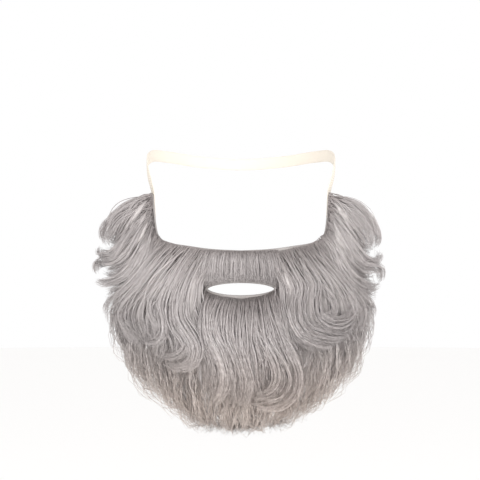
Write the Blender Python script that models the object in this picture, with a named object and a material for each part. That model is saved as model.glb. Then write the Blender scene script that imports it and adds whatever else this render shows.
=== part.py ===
"""A full fake beard: hair fused in wavy locks over a moulded cloth backing, a moustache above the
mouth opening, and one elastic strap that goes over the ears and round the back of the head.

Metres, +Z up. The beard faces -Y and is modelled as it is worn. The origin is on the inner face of
the backing, in the middle of the upper lip. Tables are in millimetres and degrees.
"""

import math
from collections import namedtuple

import bmesh
import bpy
import numpy as np

MM = 0.001

# The wearer's side of the beard
# A place on the face is (s, z): s is the distance round the face from its middle line, measured on a
# circle of mean radius, and z is the height. h is the height above the skin, outwards.
MEAN_RADIUS = 85.0
BACK_HALF_LENGTH = 95.0

Form = namedtuple("Form", "z half_width depth front")
FACE_FORM = [
    Form(100, 78, 97, 6),
    Form(60, 76, 95, 4),
    Form(20, 74, 95, 1),
    Form(0, 72, 95, 0),
    Form(-20, 69, 94, -1),
    Form(-45, 63, 92, -2),
    Form(-60, 56, 84, 8),
    Form(-75, 48, 74, 22),
]
# Below the jaw the hair hangs clear of the neck, round this wider form.
HAIR_FORM = [
    Form(60, 76, 95, 4),
    Form(20, 74, 95, 1),
    Form(0, 72, 95, 0),
    Form(-20, 69, 94, -1),
    Form(-45, 66, 88, -3),
    Form(-65, 62, 76, -3),
    Form(-90, 55, 62, 0),
    Form(-130, 42, 46, 8),
]

# The cloth backing
BACKING_WALL = 1.5
CLEARANCE = 0.3
WEFT_BASE = 0.4
WEFT_TOP = 4.0
Edge = namedtuple("Edge", "s top bottom")
BACKING_EDGE = [
    Edge(0, 11.5, -58),
    Edge(25, 12.5, -57),
    Edge(50, 15, -54),
    Edge(78, 18.5, -47),
    Edge(92, 22.5, -40),
    Edge(99, 30, -35),
    Edge(102, 41, -32),
    Edge(104.5, 55, -30),
    Edge(108, 57.5, -28),
    Edge(116, 57.5, -22),
    Edge(122, 52, -15),
]
BACKING_COLUMNS = (0, 10, 20, 31, 44, 58, 72, 84, 91, 96, 99, 102, 104.5, 108, 115, 122)
WEFT_COLUMNS = (0, 20, 44, 66, 84, 94, 100, 105, 113, 122)
PAST_THE_EDGE = (134, 150)
BACKING_ROWS = 8
WEFT_INSET = 1.2

# The mouth opening and the moustache above it
MOUTH_HALF_WIDTH = 26.0
MOUTH_HALF_HEIGHT = 5.2
MOUTH_Z = -18.3
MOUTH_SIDES = 24
MOUSTACHE_SPACE = 25.0
MOUSTACHE_COLUMNS = (0, 9, 18, 27.4)
MOUSTACHE_ROOT = 10.7
MOUSTACHE_BOTTOM = -12.4
MOUSTACHE_LOCKS = 7
MOUSTACHE_INSET = 7.0

# The elastic strap, from its end sewn inside the sideburn to the middle of the back
STRAP_WIDTH = 10.0
STRAP_WALL = 1.2
STRAP_STEPS = 20
Turn = namedtuple("Turn", "angle z h")
STRAP_ROUTE = [
    Turn(73.5, 38, -1.0),
    Turn(74, 48, -1.0),
    Turn(75, 60, -1.0),
    Turn(80, 73, 0.6),
    Turn(90, 84, 1.2),
    Turn(105, 91, 1.2),
    Turn(126, 92, 1.2),
    Turn(152, 89, 1.2),
    Turn(180, 87, 1.2),
]

# The locks of hair
# A lock leaves its root at (s, z) and runs for length, and its heading turns through the five angles
# given for the root, the quarters and the tip: 0 is straight down and 90 is outwards. lift is how
# far it stands off the form, and flare turns its plane from along the face (0) to straight out (90).
LOCK_SIDES = 5
LOCK_RINGS = 7
Lock = namedtuple("Lock", "side s z length root quarter half three tip width thick lift flare")
LOCKS = [
    # Under layer, from the jaw and the chin
    Lock("both", 112, -13, 69, 61, 49, 20, -14, -60, 23, 18, 10, 62),
    Lock("both", 98, -25, 78, 50, 45, 22, -6, -50, 25, 18, 12, 44),
    Lock("both", 81, -35, 85, 39, 36, 18, -2, -40, 26, 18, 12, 24),
    Lock("both", 64, -41, 85, 29, 29, 14, 4, -35, 26, 18, 12, 9),
    Lock("both", 47, -45, 82, 20, 22, 9, -4, 30, 25, 18, 11, 0),
    Lock("both", 30, -47, 79, 11, 15, 2, 5, -30, 25, 18, 11, 0),
    Lock("both", 13, -48, 78, 4, 6, 0, 8, 30, 24, 18, 11, 0),
    # Middle layer, from the cheeks
    Lock("both", 46, -12, 104, 24, 22, 4, -10, -40, 22, 13, 14, 0),
    Lock("both", 67, -9, 100, 38, 38, 20, -2, -60, 21, 14, 14, 10),
    Lock("both", 83, -7, 92, 44, 44, 28, 4, -55, 21, 15, 13, 30),
    Lock("both", 98, -5, 80, 50, 48, 30, 2, -60, 20, 16, 11, 54),
    # Side locks behind the sideburn
    Lock("both", 118, 46, 48, 60, 56, 35, -20, -80, 20, 17, 5, 96),
    Lock("both", 119, 34, 46, 52, 46, 50, 80, 130, 17, 17, 5, 96),
    Lock("both", 118, 14, 49, 46, 44, 50, 66, 100, 22, 17, 5, 92),
    Lock("both", 114, -6, 58, 48, 40, 24, 4, -30, 20, 17, 8, 80),
    # Top layer on the cheeks
    Lock("both", 30, 7, 112, 12, 10, -2, -10, 8, 13, 9, 16, 0),
    Lock("left", 41, 9, 118, 30, 26, -8, -40, 120, 16, 10, 19, 0),
    Lock("right", 41, 9, 108, 24, 14, 2, 40, 84, 16, 10, 18, 0),
    Lock("left", 54, 11, 112, 38, 38, 4, -20, 165, 17, 10, 20, 3),
    Lock("right", 54, 11, 120, 36, 44, 8, -85, -210, 17, 10, 20, 3),
    Lock("both", 68, 13, 104, 40, 42, 28, -10, -60, 18, 12, 18, 12),
    Lock("both", 82, 15, 92, 42, 43, 36, 14, -40, 17, 12, 15, 36),
    # Side locks on the sideburn, whose tips turn up
    Lock("both", 107, 50, 60, 64, 58, 50, 0, -80, 19, 15, 4, 82),
    Lock("both", 106, 38, 56, 42, 42, 50, 104, 185, 14, 14, 4, 80),
    Lock("both", 104, 28, 55, 40, 40, 46, 86, 150, 14, 14, 4, 78),
    Lock("both", 100, 20, 56, 43, 43, 54, 80, 104, 14, 14, 5, 72),
    Lock("both", 94, 14, 72, 42, 44, 44, 24, -20, 17, 14, 9, 58),
    # Chin locks below the mouth
    Lock("left", 6, -29, 96, 36, 20, -20, -10, 10, 15, 11, 17, 0),
    Lock("left", 18, -29, 98, 34, 20, -14, -14, 14, 15, 11, 18, 0),
    Lock("left", 29, -29, 96, 22, 14, -8, -12, 16, 14, 11, 17, 0),
    Lock("right", 4, -29, 98, 0, -3, 5, 6, -10, 15, 11, 17, 0),
    Lock("right", 15, -29, 98, 6, 10, 22, 6, -60, 15, 11, 19, 0),
    Lock("right", 26, -29, 98, 8, 16, 24, -12, -95, 16, 11, 19, 0),
]

# Colours from the photograph, as linear values
HAIR_GREY = (0.39, 0.355, 0.345, 1.0)
BACKING_GREY = (0.33, 0.31, 0.30, 1.0)
STRAP_WHITE = (0.78, 0.72, 0.62, 1.0)


def smooth(x, stations, values):
    """A curve through a table's values, without corners: a cubic between each two stations, whose
    slope at a station is the slope between its neighbours."""
    stations = np.asarray(stations, float)
    values = np.asarray(values, float)
    slope = np.gradient(values, stations)
    x = np.clip(x, stations[0], stations[-1])
    i = np.clip(np.searchsorted(stations, x) - 1, 0, len(stations) - 2)
    span = stations[i + 1] - stations[i]
    t = (x - stations[i]) / span
    return (
        values[i] * (1 + 2 * t) * (1 - t) ** 2
        + slope[i] * span * t * (1 - t) ** 2
        + values[i + 1] * t**2 * (3 - 2 * t)
        + slope[i + 1] * span * t**2 * (t - 1)
    )


def form_column(rows, name, z):
    """One named column of a form table, read at the heights z. The rows run from top to bottom."""
    rows = rows[::-1]
    return smooth(z, [row.z for row in rows], [getattr(row, name) for row in rows])


def on_form(rows, angle, z, h):
    """Points h above a form, in metres. Each level is an ellipse, with its own depth in front of the
    ears and one half length behind them. Also gives the outward direction and the one round the face."""
    half_width = form_column(rows, "half_width", z)
    depth = form_column(rows, "depth", z)
    front = form_column(rows, "front", z)
    along = np.where(np.cos(angle) > 0, depth, BACK_HALF_LENGTH)
    outward = np.stack(
        [np.sin(angle) / half_width, -np.cos(angle) / along, 0 * angle], -1
    )
    outward /= np.linalg.norm(outward, axis=-1, keepdims=True)
    skin = np.stack(
        [half_width * np.sin(angle), front + depth - along * np.cos(angle), z], -1
    )
    round_face = np.stack([-outward[..., 1], outward[..., 0], 0 * angle], -1)
    return (skin + outward * np.asarray(h)[..., None]) * MM, outward, round_face


def new_object(name, vertices, faces, material=None):
    mesh = bpy.data.meshes.new(name)
    mesh.from_pydata([tuple(v) for v in vertices], [], [tuple(f) for f in faces])
    if material:
        mesh.materials.append(material)
    body = bpy.data.objects.new(name, mesh)
    bpy.context.scene.collection.objects.link(body)
    return body


def helper(body):
    """Marks a cutter or a lock that a Boolean reads, which isn't a piece of its own."""
    body.hide_render = True
    body.display_type = "WIRE"
    return body


def finish_material(name, colour, roughness):
    material = bpy.data.materials.new(name)
    material.use_nodes = True
    shader = material.node_tree.nodes["Principled BSDF"]
    shader.inputs["Base Color"].default_value = colour
    shader.inputs["Roughness"].default_value = roughness
    return material


def grid_faces(columns, rows, offset=0, flip=False):
    """The triangles of a grid whose point (i, j) is number offset + i * rows + j. They all split
    their squares the same way, so that two layers keep the same distance everywhere."""
    i, j = np.meshgrid(np.arange(columns - 1), np.arange(rows - 1), indexing="ij")
    a = (offset + i * rows + j).ravel()
    halves = [(a, a + 1, a + rows + 1), (a, a + rows + 1, a + rows)]
    triangles = np.concatenate([np.stack(half, -1) for half in halves])
    return triangles[:, ::-1] if flip else triangles


def shell(name, stations, inner_h, outer_h, inset=0.0, past=0.0, floor=None, material=None):
    """A closed wall over the face, between the heights inner_h and outer_h. It is a grid of stations
    round the face by rows from the top edge to the bottom edge, joined round its rim. The end rows
    can be inset from the edges, or a row can be added past each edge. A floor is a straight bottom
    edge of its own."""
    half = np.array(stations, float)
    s = np.concatenate([-half[:0:-1], half])
    top = smooth(abs(s), [e.s for e in BACKING_EDGE], [e.top for e in BACKING_EDGE])
    bottom = smooth(abs(s), [e.s for e in BACKING_EDGE], [e.bottom for e in BACKING_EDGE])
    if floor is not None:
        bottom = np.full(s.shape, floor)
    share = np.linspace(0, 1, BACKING_ROWS)
    z = top[:, None] * (1 - share) + bottom[:, None] * share
    z[:, 0] -= inset
    z[:, -1] += inset
    if past:
        z = np.column_stack([top + past, z, bottom - past])
    rows = z.shape[1]
    angle = np.repeat(s[:, None] / MEAN_RADIUS, rows, 1)
    walls = [
        on_form(FACE_FORM, angle, z, np.full(z.shape, h))[0].reshape(-1, 3)
        for h in (inner_h, outer_h)
    ]
    columns, count = len(s), len(s) * rows
    faces = [
        *grid_faces(columns, rows),
        *grid_faces(columns, rows, offset=count, flip=True),
    ]
    rim = [i * rows for i in range(columns)]
    rim += [(columns - 1) * rows + j for j in range(1, rows)]
    rim += [i * rows + rows - 1 for i in reversed(range(columns - 1))]
    rim += list(reversed(range(1, rows - 1)))
    for a, b in zip(rim, rim[1:] + rim[:1]):
        faces.append((a, b, b + count, a + count))
    body = new_object(name, np.concatenate(walls), faces, material)
    outwards(body)
    return body


def outwards(body):
    """Turns every face of a closed mesh outwards."""
    work = bmesh.new()
    work.from_mesh(body.data)
    bmesh.ops.recalc_face_normals(work, faces=work.faces)
    work.to_mesh(body.data)
    work.free()


def lock_path(lock, steps):
    """The middle line of a lock and the two directions of its section, at even steps. The heading
    turns smoothly through the lock's five angles, and the line is the sum of its short steps."""
    t = np.linspace(0, 1, steps)
    turns = (lock.root, lock.quarter, lock.half, lock.three, lock.tip)
    heading = np.radians(smooth(t, np.linspace(0, 1, len(turns)), turns))
    step = lock.length / (steps - 1)
    middle = (heading[1:] + heading[:-1]) / 2
    aside = np.concatenate([[0], np.cumsum(np.sin(middle) * step)])
    z = lock.z - np.concatenate([[0], np.cumsum(np.cos(middle) * step)])
    flare = math.radians(lock.flare)
    risen = np.sin(math.pi / 2 * np.minimum(t / 0.4, 1))
    h = lock.lift * risen + aside * math.sin(flare)
    angle = (lock.s + aside * math.cos(flare)) / MEAN_RADIUS
    points, outward, round_face = on_form(HAIR_FORM, angle, z, h)
    face_on = outward * math.cos(flare) - round_face * math.sin(flare)
    tangent = np.gradient(points, axis=0)
    tangent /= np.linalg.norm(tangent, axis=1, keepdims=True)
    across = np.cross(face_on, tangent)
    across /= np.linalg.norm(across, axis=1, keepdims=True)
    return t, points, across, np.cross(tangent, across)


def lock_profile(t):
    """A lock's share of its full section: it swells from the root and tapers to a soft tip."""
    swell = 0.75 + 0.25 * np.sin(math.pi / 2 * np.minimum(t / 0.35, 1))
    taper = 1 - 0.6 * np.clip((t - 0.6) / 0.4, 0, 1) ** 2
    return swell * taper


def lock_body(name, lock, mirrored):
    """One lock as a closed tube: an ellipse of the lock's width and thickness carried along it."""
    t, points, across, through = lock_path(lock, LOCK_RINGS)
    share = lock_profile(t)[:, None, None] * MM / 2
    turn = np.arange(LOCK_SIDES) * 2 * math.pi / LOCK_SIDES
    rings = (
        points[:, None]
        + across[:, None] * np.cos(turn)[None, :, None] * share * lock.width
        + through[:, None] * np.sin(turn)[None, :, None] * share * lock.thick
    )
    if mirrored:
        rings = rings * np.array([-1, 1, 1])
    faces = []
    for ring in range(LOCK_RINGS - 1):
        for k in range(LOCK_SIDES):
            a = ring * LOCK_SIDES + k
            b = ring * LOCK_SIDES + (k + 1) % LOCK_SIDES
            faces.append((a, b, b + LOCK_SIDES, a + LOCK_SIDES))
    faces.append(tuple(range(LOCK_SIDES)))
    faces.append(tuple(range((LOCK_RINGS - 1) * LOCK_SIDES, LOCK_RINGS * LOCK_SIDES)))
    body = new_object(name, rings.reshape(-1, 3), faces)
    outwards(body)
    return helper(body)


def block(name, low, high):
    """A box between two corners, in millimetres, for cutting."""
    corners = [(x, y, z) for x in (low[0], high[0]) for y in (low[1], high[1]) for z in (low[2], high[2])]
    faces = [(0, 1, 3, 2), (4, 6, 7, 5), (0, 4, 5, 1), (2, 3, 7, 6), (0, 2, 6, 4), (1, 5, 7, 3)]
    body = new_object(name, np.array(corners) * MM, faces)
    outwards(body)
    return helper(body)


def mouth_cutter(name, grow=0.0):
    """A lens as wide and high as the mouth opening, extruded through the front of the face."""
    turn = np.arange(MOUTH_SIDES) * 2 * math.pi / MOUTH_SIDES
    x = (MOUTH_HALF_WIDTH + grow) * np.cos(turn)
    z = MOUTH_Z + (MOUTH_HALF_HEIGHT + grow) * np.sin(turn)
    ends = [np.stack([x, np.full(MOUTH_SIDES, y), z], -1) for y in (-45.0, 30.0)]
    faces = [tuple(range(MOUTH_SIDES)), tuple(range(MOUTH_SIDES, 2 * MOUTH_SIDES))]
    for k in range(MOUTH_SIDES):
        n = (k + 1) % MOUTH_SIDES
        faces.append((k, n, n + MOUTH_SIDES, k + MOUTH_SIDES))
    body = new_object(name, np.concatenate(ends) * MM, faces)
    outwards(body)
    return helper(body)


def boolean(body, operation, other=None, collection=None):
    modifier = body.modifiers.new(operation.lower(), "BOOLEAN")
    modifier.operation = operation
    if collection:
        modifier.operand_type = "COLLECTION"
        modifier.collection = collection
    else:
        modifier.object = other


def fill_cavities(body):
    """Applies the Booleans, then keeps only the outermost skin, so that no pocket between two locks
    stays sealed inside the solid."""
    graph = bpy.context.evaluated_depsgraph_get()
    mesh = bpy.data.meshes.new_from_object(body.evaluated_get(graph))
    body.modifiers.clear()
    body.data = mesh
    work = bmesh.new()
    work.from_mesh(mesh)
    left = set(work.verts)
    skins = []
    while left:
        edge_of_search = [left.pop()]
        skin = set(edge_of_search)
        while edge_of_search:
            near = {link.other_vert(vert) for vert in edge_of_search for link in vert.link_edges} & left
            left -= near
            skin |= near
            edge_of_search = list(near)
        skins.append(skin)
    outermost = max(skins, key=len)
    bmesh.ops.delete(work, geom=[vert for vert in work.verts if vert not in outermost], context="VERTS")
    work.to_mesh(mesh)
    work.free()


def collect(name, bodies):
    group = bpy.data.collections.new(name)
    bpy.context.scene.collection.children.link(group)
    for body in bodies:
        bpy.context.scene.collection.objects.unlink(body)
        group.objects.link(body)
    return group


def skin_side(name):
    """Everything on the wearer's side of the hair, for keeping the hair clear of the backing."""
    columns = BACKING_COLUMNS + PAST_THE_EDGE
    return helper(shell(name, columns, -20.0, BACKING_WALL + CLEARANCE, past=9.0))


def face_backing(cloth):
    """The moulded cloth that everything is sewn to, with its mouth opening."""
    backing = shell("face_backing", BACKING_COLUMNS, 0.0, BACKING_WALL, material=cloth)
    boolean(backing, "DIFFERENCE", mouth_cutter("mouth_hole"))
    return backing


def beard_hair(hair):
    """All the hair but the moustache: a sewn weft layer over the backing, and the locks fused to it."""
    body = shell("beard_hair", WEFT_COLUMNS, WEFT_BASE, WEFT_TOP, inset=WEFT_INSET, material=hair)
    locks = []
    for number, lock in enumerate(LOCKS):
        for side in ("right", "left"):
            if lock.side in (side, "both"):
                locks.append(lock_body(f"lock_{number}_{side}", lock, side == "left"))
    boolean(body, "UNION", collection=collect("locks", locks))
    boolean(body, "DIFFERENCE", skin_side("skin_side_of_beard"))
    edge = MOUSTACHE_SPACE
    boolean(body, "DIFFERENCE", block("moustache_space", (-edge, -45, MOUTH_Z), (edge, 30, 40)))
    boolean(body, "DIFFERENCE", mouth_cutter("mouth_space", grow=1.0))
    fill_cavities(body)
    return body


def moustache_hair(hair):
    """Short straight hair from the top edge of the backing to the mouth, in even locks."""
    body = shell(
        "moustache_hair",
        MOUSTACHE_COLUMNS,
        WEFT_BASE,
        WEFT_TOP,
        inset=WEFT_INSET,
        floor=MOUSTACHE_BOTTOM - WEFT_INSET,
        material=hair,
    )
    length = MOUSTACHE_ROOT - MOUSTACHE_BOTTOM
    locks = []
    for number in range(MOUSTACHE_LOCKS):
        s = (MOUSTACHE_COLUMNS[-1] - MOUSTACHE_INSET) * (2 * number / (MOUSTACHE_LOCKS - 1) - 1)
        fan = 0.25 * s
        lock = Lock("right", s, MOUSTACHE_ROOT, length, 0, 0, fan / 2, fan, fan, 9, 6, 4, 0)
        locks.append(lock_body(f"moustache_lock_{number}", lock, False))
    boolean(body, "UNION", collection=collect("moustache_locks", locks))
    boolean(body, "DIFFERENCE", skin_side("skin_side_of_moustache"))
    fill_cavities(body)
    return body


def elastic_strap(elastic):
    """The strap as one flat band: a rectangle carried round the head, lying flat on it."""
    turns = [Turn(360 - turn.angle, turn.z, turn.h) for turn in STRAP_ROUTE[:-1]]
    route = STRAP_ROUTE + turns[::-1]
    travel = np.cumsum([0] + [math.dist((a.angle * 1.5, a.z), (b.angle * 1.5, b.z))
                              for a, b in zip(route, route[1:])])
    at = np.linspace(0, travel[-1], 2 * STRAP_STEPS + 1)
    angle = np.radians(smooth(at, travel, [turn.angle for turn in route]))
    z = smooth(at, travel, [turn.z for turn in route])
    h = smooth(at, travel, [turn.h for turn in route])
    points, outward, _ = on_form(FACE_FORM, angle, z, h)
    along = np.gradient(points, axis=0)
    along /= np.linalg.norm(along, axis=1, keepdims=True)
    edgewise = np.cross(outward, along)
    edgewise /= np.linalg.norm(edgewise, axis=1, keepdims=True)
    flat = np.cross(along, edgewise)
    half_width, half_wall = STRAP_WIDTH / 2 * MM, STRAP_WALL / 2 * MM
    rings = np.stack(
        [points + edgewise * half_width * a + flat * half_wall * b for a, b in ((1, 1), (-1, 1), (-1, -1), (1, -1))],
        1,
    )
    faces = []
    for ring in range(len(at) - 1):
        for k in range(4):
            a, b = ring * 4 + k, ring * 4 + (k + 1) % 4
            faces.append((a, b, b + 4, a + 4))
    last = 4 * (len(at) - 1)
    faces += [(0, 1, 2, 3), (last, last + 1, last + 2, last + 3)]
    strap = new_object("elastic_strap", rings.reshape(-1, 3), faces, elastic)
    outwards(strap)
    return strap


def main():
    for old in list(bpy.data.objects):
        bpy.data.objects.remove(old)
    hair = finish_material("grey_hair", HAIR_GREY, 0.55)
    face_backing(finish_material("backing_cloth", BACKING_GREY, 0.9))
    beard_hair(hair)
    moustache_hair(hair)
    elastic_strap(finish_material("white_elastic", STRAP_WHITE, 0.8))


main()
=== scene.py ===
# %% [markdown]
# # A full fake beard, dressed
#
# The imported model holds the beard's plain solids: a moulded cloth backing, thick locks of hair and
# a strap. This lesson gives each of them its real surface. Hair is the main work. It is built in
# two depths: a dark, streaked undercoat inside each lock, and thousands of thin strands combed over
# it. Blender can grow hair by itself, but here every strand is a small closed mesh, so that it lies
# exactly where it should and can be exported like any other piece.

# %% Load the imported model
import math
from collections import namedtuple

import bmesh
import bpy
import numpy as np
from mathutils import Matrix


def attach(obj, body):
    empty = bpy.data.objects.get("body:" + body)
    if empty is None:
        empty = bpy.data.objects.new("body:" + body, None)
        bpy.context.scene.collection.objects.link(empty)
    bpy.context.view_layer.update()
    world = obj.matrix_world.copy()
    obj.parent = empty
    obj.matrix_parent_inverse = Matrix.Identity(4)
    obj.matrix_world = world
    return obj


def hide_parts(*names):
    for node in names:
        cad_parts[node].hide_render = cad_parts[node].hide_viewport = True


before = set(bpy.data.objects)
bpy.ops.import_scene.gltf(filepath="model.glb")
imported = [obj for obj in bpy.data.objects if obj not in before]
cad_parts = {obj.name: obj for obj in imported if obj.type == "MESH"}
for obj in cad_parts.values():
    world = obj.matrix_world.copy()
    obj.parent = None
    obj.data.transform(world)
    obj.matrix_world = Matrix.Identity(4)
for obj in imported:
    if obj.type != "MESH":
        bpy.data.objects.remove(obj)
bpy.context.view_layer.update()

MM = 0.001

# %% [markdown]
# ## Camera, floor and light
#
# The beard is seen from straight in front, in an even white studio. A long lens far away keeps the
# perspective flat. The floor is one pale disc well below the beard, and a white world does most of
# the lighting, so that floor and background melt together. Three large, soft lamps draw the form: a
# key from the upper left, a fill from the right, and a low one that stands for the light which white
# paper throws back up from below. A single hard lamp would turn every strand into a bright line with
# a black shadow beside it.

# %% Camera
CAMERA_DISTANCE = 1.4
CAMERA_HEIGHT = 0.020
VIEW_WIDTH = 0.3745  # metres seen from side to side at the origin

camera_data = bpy.data.cameras.new("front_camera")
camera_data.angle = 2 * math.atan(VIEW_WIDTH / 2 / CAMERA_DISTANCE)
camera = bpy.data.objects.new("front_camera", camera_data)
camera.location = (-0.0008, -CAMERA_DISTANCE, CAMERA_HEIGHT)
camera.rotation_euler = (math.pi / 2, 0, 0)
bpy.context.scene.collection.objects.link(camera)
bpy.context.scene.camera = camera
print("Field of view, degrees:", round(math.degrees(camera_data.angle), 2))


# %% Helpers for meshes, nodes and colours
def srgb(code):
    """A hex colour as it looks on screen, turned into the linear values that a shader wants. Each
    channel c becomes ((c + 0.055) / 1.055) ** 2.4, or c / 12.92 where it is nearly black."""
    channels = [int(code[i : i + 2], 16) / 255 for i in (1, 3, 5)]
    return [c / 12.92 if c <= 0.04045 else ((c + 0.055) / 1.055) ** 2.4 for c in channels] + [1.0]


def add(tree, kind, inputs=(), stops=(), **settings):
    """Adds one node. inputs holds (socket, value or linked output), stops the (place, hex colour)
    pairs of a colour ramp, and settings the node's options."""
    node = tree.nodes.new(kind)
    for name, value in settings.items():
        setattr(node, name, value)
    for socket, value in dict(inputs).items():
        if isinstance(value, bpy.types.NodeSocket):
            tree.links.new(value, node.inputs[socket])
        else:
            node.inputs[socket].default_value = value
    points = node.color_ramp.elements if stops else []
    while len(points) < len(stops):
        points.new(0.5)
    for point, (place, code) in zip(points, stops):
        point.position = place
        point.color = srgb(code)
    return node


def new_material(name):
    """An empty material with its Principled shader joined up, and its node tree."""
    material = bpy.data.materials.new(name)
    material.use_nodes = True
    return material, material.node_tree, material.node_tree.nodes["Principled BSDF"]


MAP_NAME = "OFBake"


def build_piece(name, vertices, faces, material, corner_uv=None):
    """Puts whole arrays into a mesh: points (n, 3), faces as a list of (m, k) arrays of point
    numbers, and a flat (corners, 2) array of map places in the faces' order."""
    mesh = bpy.data.meshes.new(name)
    corners = np.concatenate([f.ravel() for f in faces]).astype(np.int32)
    totals = np.concatenate([np.full(len(f), f.shape[1]) for f in faces]).astype(np.int32)
    mesh.vertices.add(len(vertices))
    mesh.vertices.foreach_set("co", np.ascontiguousarray(vertices, np.float32).ravel())
    mesh.loops.add(len(corners))
    mesh.loops.foreach_set("vertex_index", corners)
    mesh.polygons.add(len(totals))
    starts = np.concatenate([[0], np.cumsum(totals)[:-1]]).astype(np.int32)
    mesh.polygons.foreach_set("loop_start", starts)
    mesh.polygons.foreach_set("loop_total", totals)
    mesh.update(calc_edges=True)
    mesh.polygons.foreach_set("use_smooth", np.ones(len(totals), bool))
    if corner_uv is not None:
        layer = mesh.uv_layers.new(name=MAP_NAME)
        layer.uv.foreach_set("vector", np.ascontiguousarray(corner_uv, np.float32).ravel())
    mesh.materials.append(material)
    piece = bpy.data.objects.new(name, mesh)
    bpy.context.scene.collection.objects.link(piece)
    return piece


def outward_again(piece):
    """Turns every face of a closed mesh outwards."""
    work = bmesh.new()
    work.from_mesh(piece.data)
    bmesh.ops.recalc_face_normals(work, faces=work.faces)
    work.to_mesh(piece.data)
    work.free()


# %% Floor and lamps
FLOOR_HEIGHT = -0.42
FLOOR_RADIUS = 6.0
FLOOR_SIDES = 96

# Matt paper, rolled out below. It gives the eye a floor without an edge or a shine.
paper, tree, shader = new_material("matt_white_paper")
shader.inputs["Base Color"].default_value = srgb("#fcfbfa")
shader.inputs["Roughness"].default_value = 0.9
turn = np.linspace(0, 2 * math.pi, FLOOR_SIDES, endpoint=False)
rim = np.stack([np.cos(turn), np.sin(turn), 0 * turn], -1) * FLOOR_RADIUS + [0, 0, FLOOR_HEIGHT]
floor = build_piece("floor", rim, [np.arange(FLOOR_SIDES)[None]], paper)

world = bpy.data.worlds.new("white_studio")
world.use_nodes = True
world.node_tree.nodes["Background"].inputs["Color"].default_value = srgb("#ffffff")
world.node_tree.nodes["Background"].inputs["Strength"].default_value = 1.0
bpy.context.scene.world = world
bpy.context.scene.view_settings.view_transform = "Standard"

Lamp = namedtuple("Lamp", "name place size power")
LAMPS = [
    Lamp("soft_key", (-0.55, -1.15, 1.15), 1.5, 6.5),
    Lamp("soft_fill", (0.95, -1.0, 0.45), 1.5, 6.0),
    Lamp("low_bounce", (0.1, -1.1, -0.33), 1.2, 13.0),
]
AIM = (0, 0.03, -0.02)  # the middle of the hair
for lamp in LAMPS:
    data = bpy.data.lights.new(lamp.name, "AREA")
    data.shape = "DISK"
    data.size = lamp.size
    data.energy = lamp.power
    light = bpy.data.objects.new(lamp.name, data)
    light.location = lamp.place
    towards = np.array(AIM) - lamp.place
    x, y, z = towards / np.linalg.norm(towards)
    light.rotation_euler = (math.acos(-z), 0, math.atan2(y, x) - math.pi / 2)
    bpy.context.scene.collection.objects.link(light)
print("Lamps:", [(lamp.name, lamp.power) for lamp in LAMPS])

# %% [markdown]
# ## The form underneath
#
# Everything on the beard is placed round one rounded form, so a place is just (s, z, h): s runs round
# the form from its middle line, z is the height and h the distance outwards. Each level of the form
# is an ellipse, and a short table says how wide, how deep and how far forward it is. It could also
# be sculpted, but then every seam and lock would have to be pulled onto it by hand. The tables of the
# forms, the cloth's edges and the strap's route are the ones that the solids were made from, so the
# dressed pieces sit where the solids do.

# %% The form tables and the way onto them
MEAN_RADIUS = 85.0
BACK_HALF_LENGTH = 95.0

Form = namedtuple("Form", "z half_width depth front")
FACE_FORM = [
    Form(100, 78, 97, 6),
    Form(60, 76, 95, 4),
    Form(20, 74, 95, 1),
    Form(0, 72, 95, 0),
    Form(-20, 69, 94, -1),
    Form(-45, 63, 92, -2),
    Form(-60, 56, 84, 8),
    Form(-75, 48, 74, 22),
]
HAIR_FORM = [
    Form(60, 76, 95, 4),
    Form(20, 74, 95, 1),
    Form(0, 72, 95, 0),
    Form(-20, 69, 94, -1),
    Form(-45, 66, 88, -3),
    Form(-65, 62, 76, -3),
    Form(-90, 55, 62, 0),
    Form(-130, 42, 46, 8),
]


def smooth(x, stations, values):
    """A curve through a table's values, without corners: a cubic between each two stations, whose
    slope at a station is the slope between its neighbours."""
    stations = np.asarray(stations, float)
    values = np.asarray(values, float)
    slope = np.gradient(values, stations)
    x = np.clip(x, stations[0], stations[-1])
    i = np.clip(np.searchsorted(stations, x) - 1, 0, len(stations) - 2)
    span = stations[i + 1] - stations[i]
    t = (x - stations[i]) / span
    return (
        values[i] * (1 + 2 * t) * (1 - t) ** 2
        + slope[i] * span * t * (1 - t) ** 2
        + values[i + 1] * t**2 * (3 - 2 * t)
        + slope[i + 1] * span * t**2 * (t - 1)
    )


def form_column(rows, name, z):
    """One named column of a form table, read at the heights z. The rows run from top to bottom."""
    rows = rows[::-1]
    return smooth(z, [row.z for row in rows], [getattr(row, name) for row in rows])


def on_form(rows, angle, z, h):
    """Points h above a form, in metres: x = half_width sin(angle) and y = front + depth - along
    cos(angle), pushed h along the ellipse's outward normal. Also gives that normal and the
    direction round the form."""
    half_width = form_column(rows, "half_width", z)
    depth = form_column(rows, "depth", z)
    front = form_column(rows, "front", z)
    along = np.where(np.cos(angle) > 0, depth, BACK_HALF_LENGTH)
    outward = np.stack([np.sin(angle) / half_width, -np.cos(angle) / along, 0 * angle], -1)
    outward /= np.linalg.norm(outward, axis=-1, keepdims=True)
    skin = np.stack([half_width * np.sin(angle), front + depth - along * np.cos(angle), z], -1)
    round_face = np.stack([-outward[..., 1], outward[..., 0], 0 * angle], -1)
    return (skin + outward * np.asarray(h)[..., None]) * MM, outward, round_face


# %% [markdown]
# ## The backing
#
# The hair is sewn onto a moulded cloth that runs under all of it and ends at the top in two narrow
# tabs. It is one sheet with a lens cut out for the mouth opening, and it is seen from the inside and
# as a thin line along its edge. A flat plane could be cut and wrapped, but its edges would slip. So a
# grid follows the cloth's two edges. It is split at the height of the opening, where the two halves
# draw apart to leave the lens and are welded together beside it. Solidify then gives the sheet its
# wall.

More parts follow.
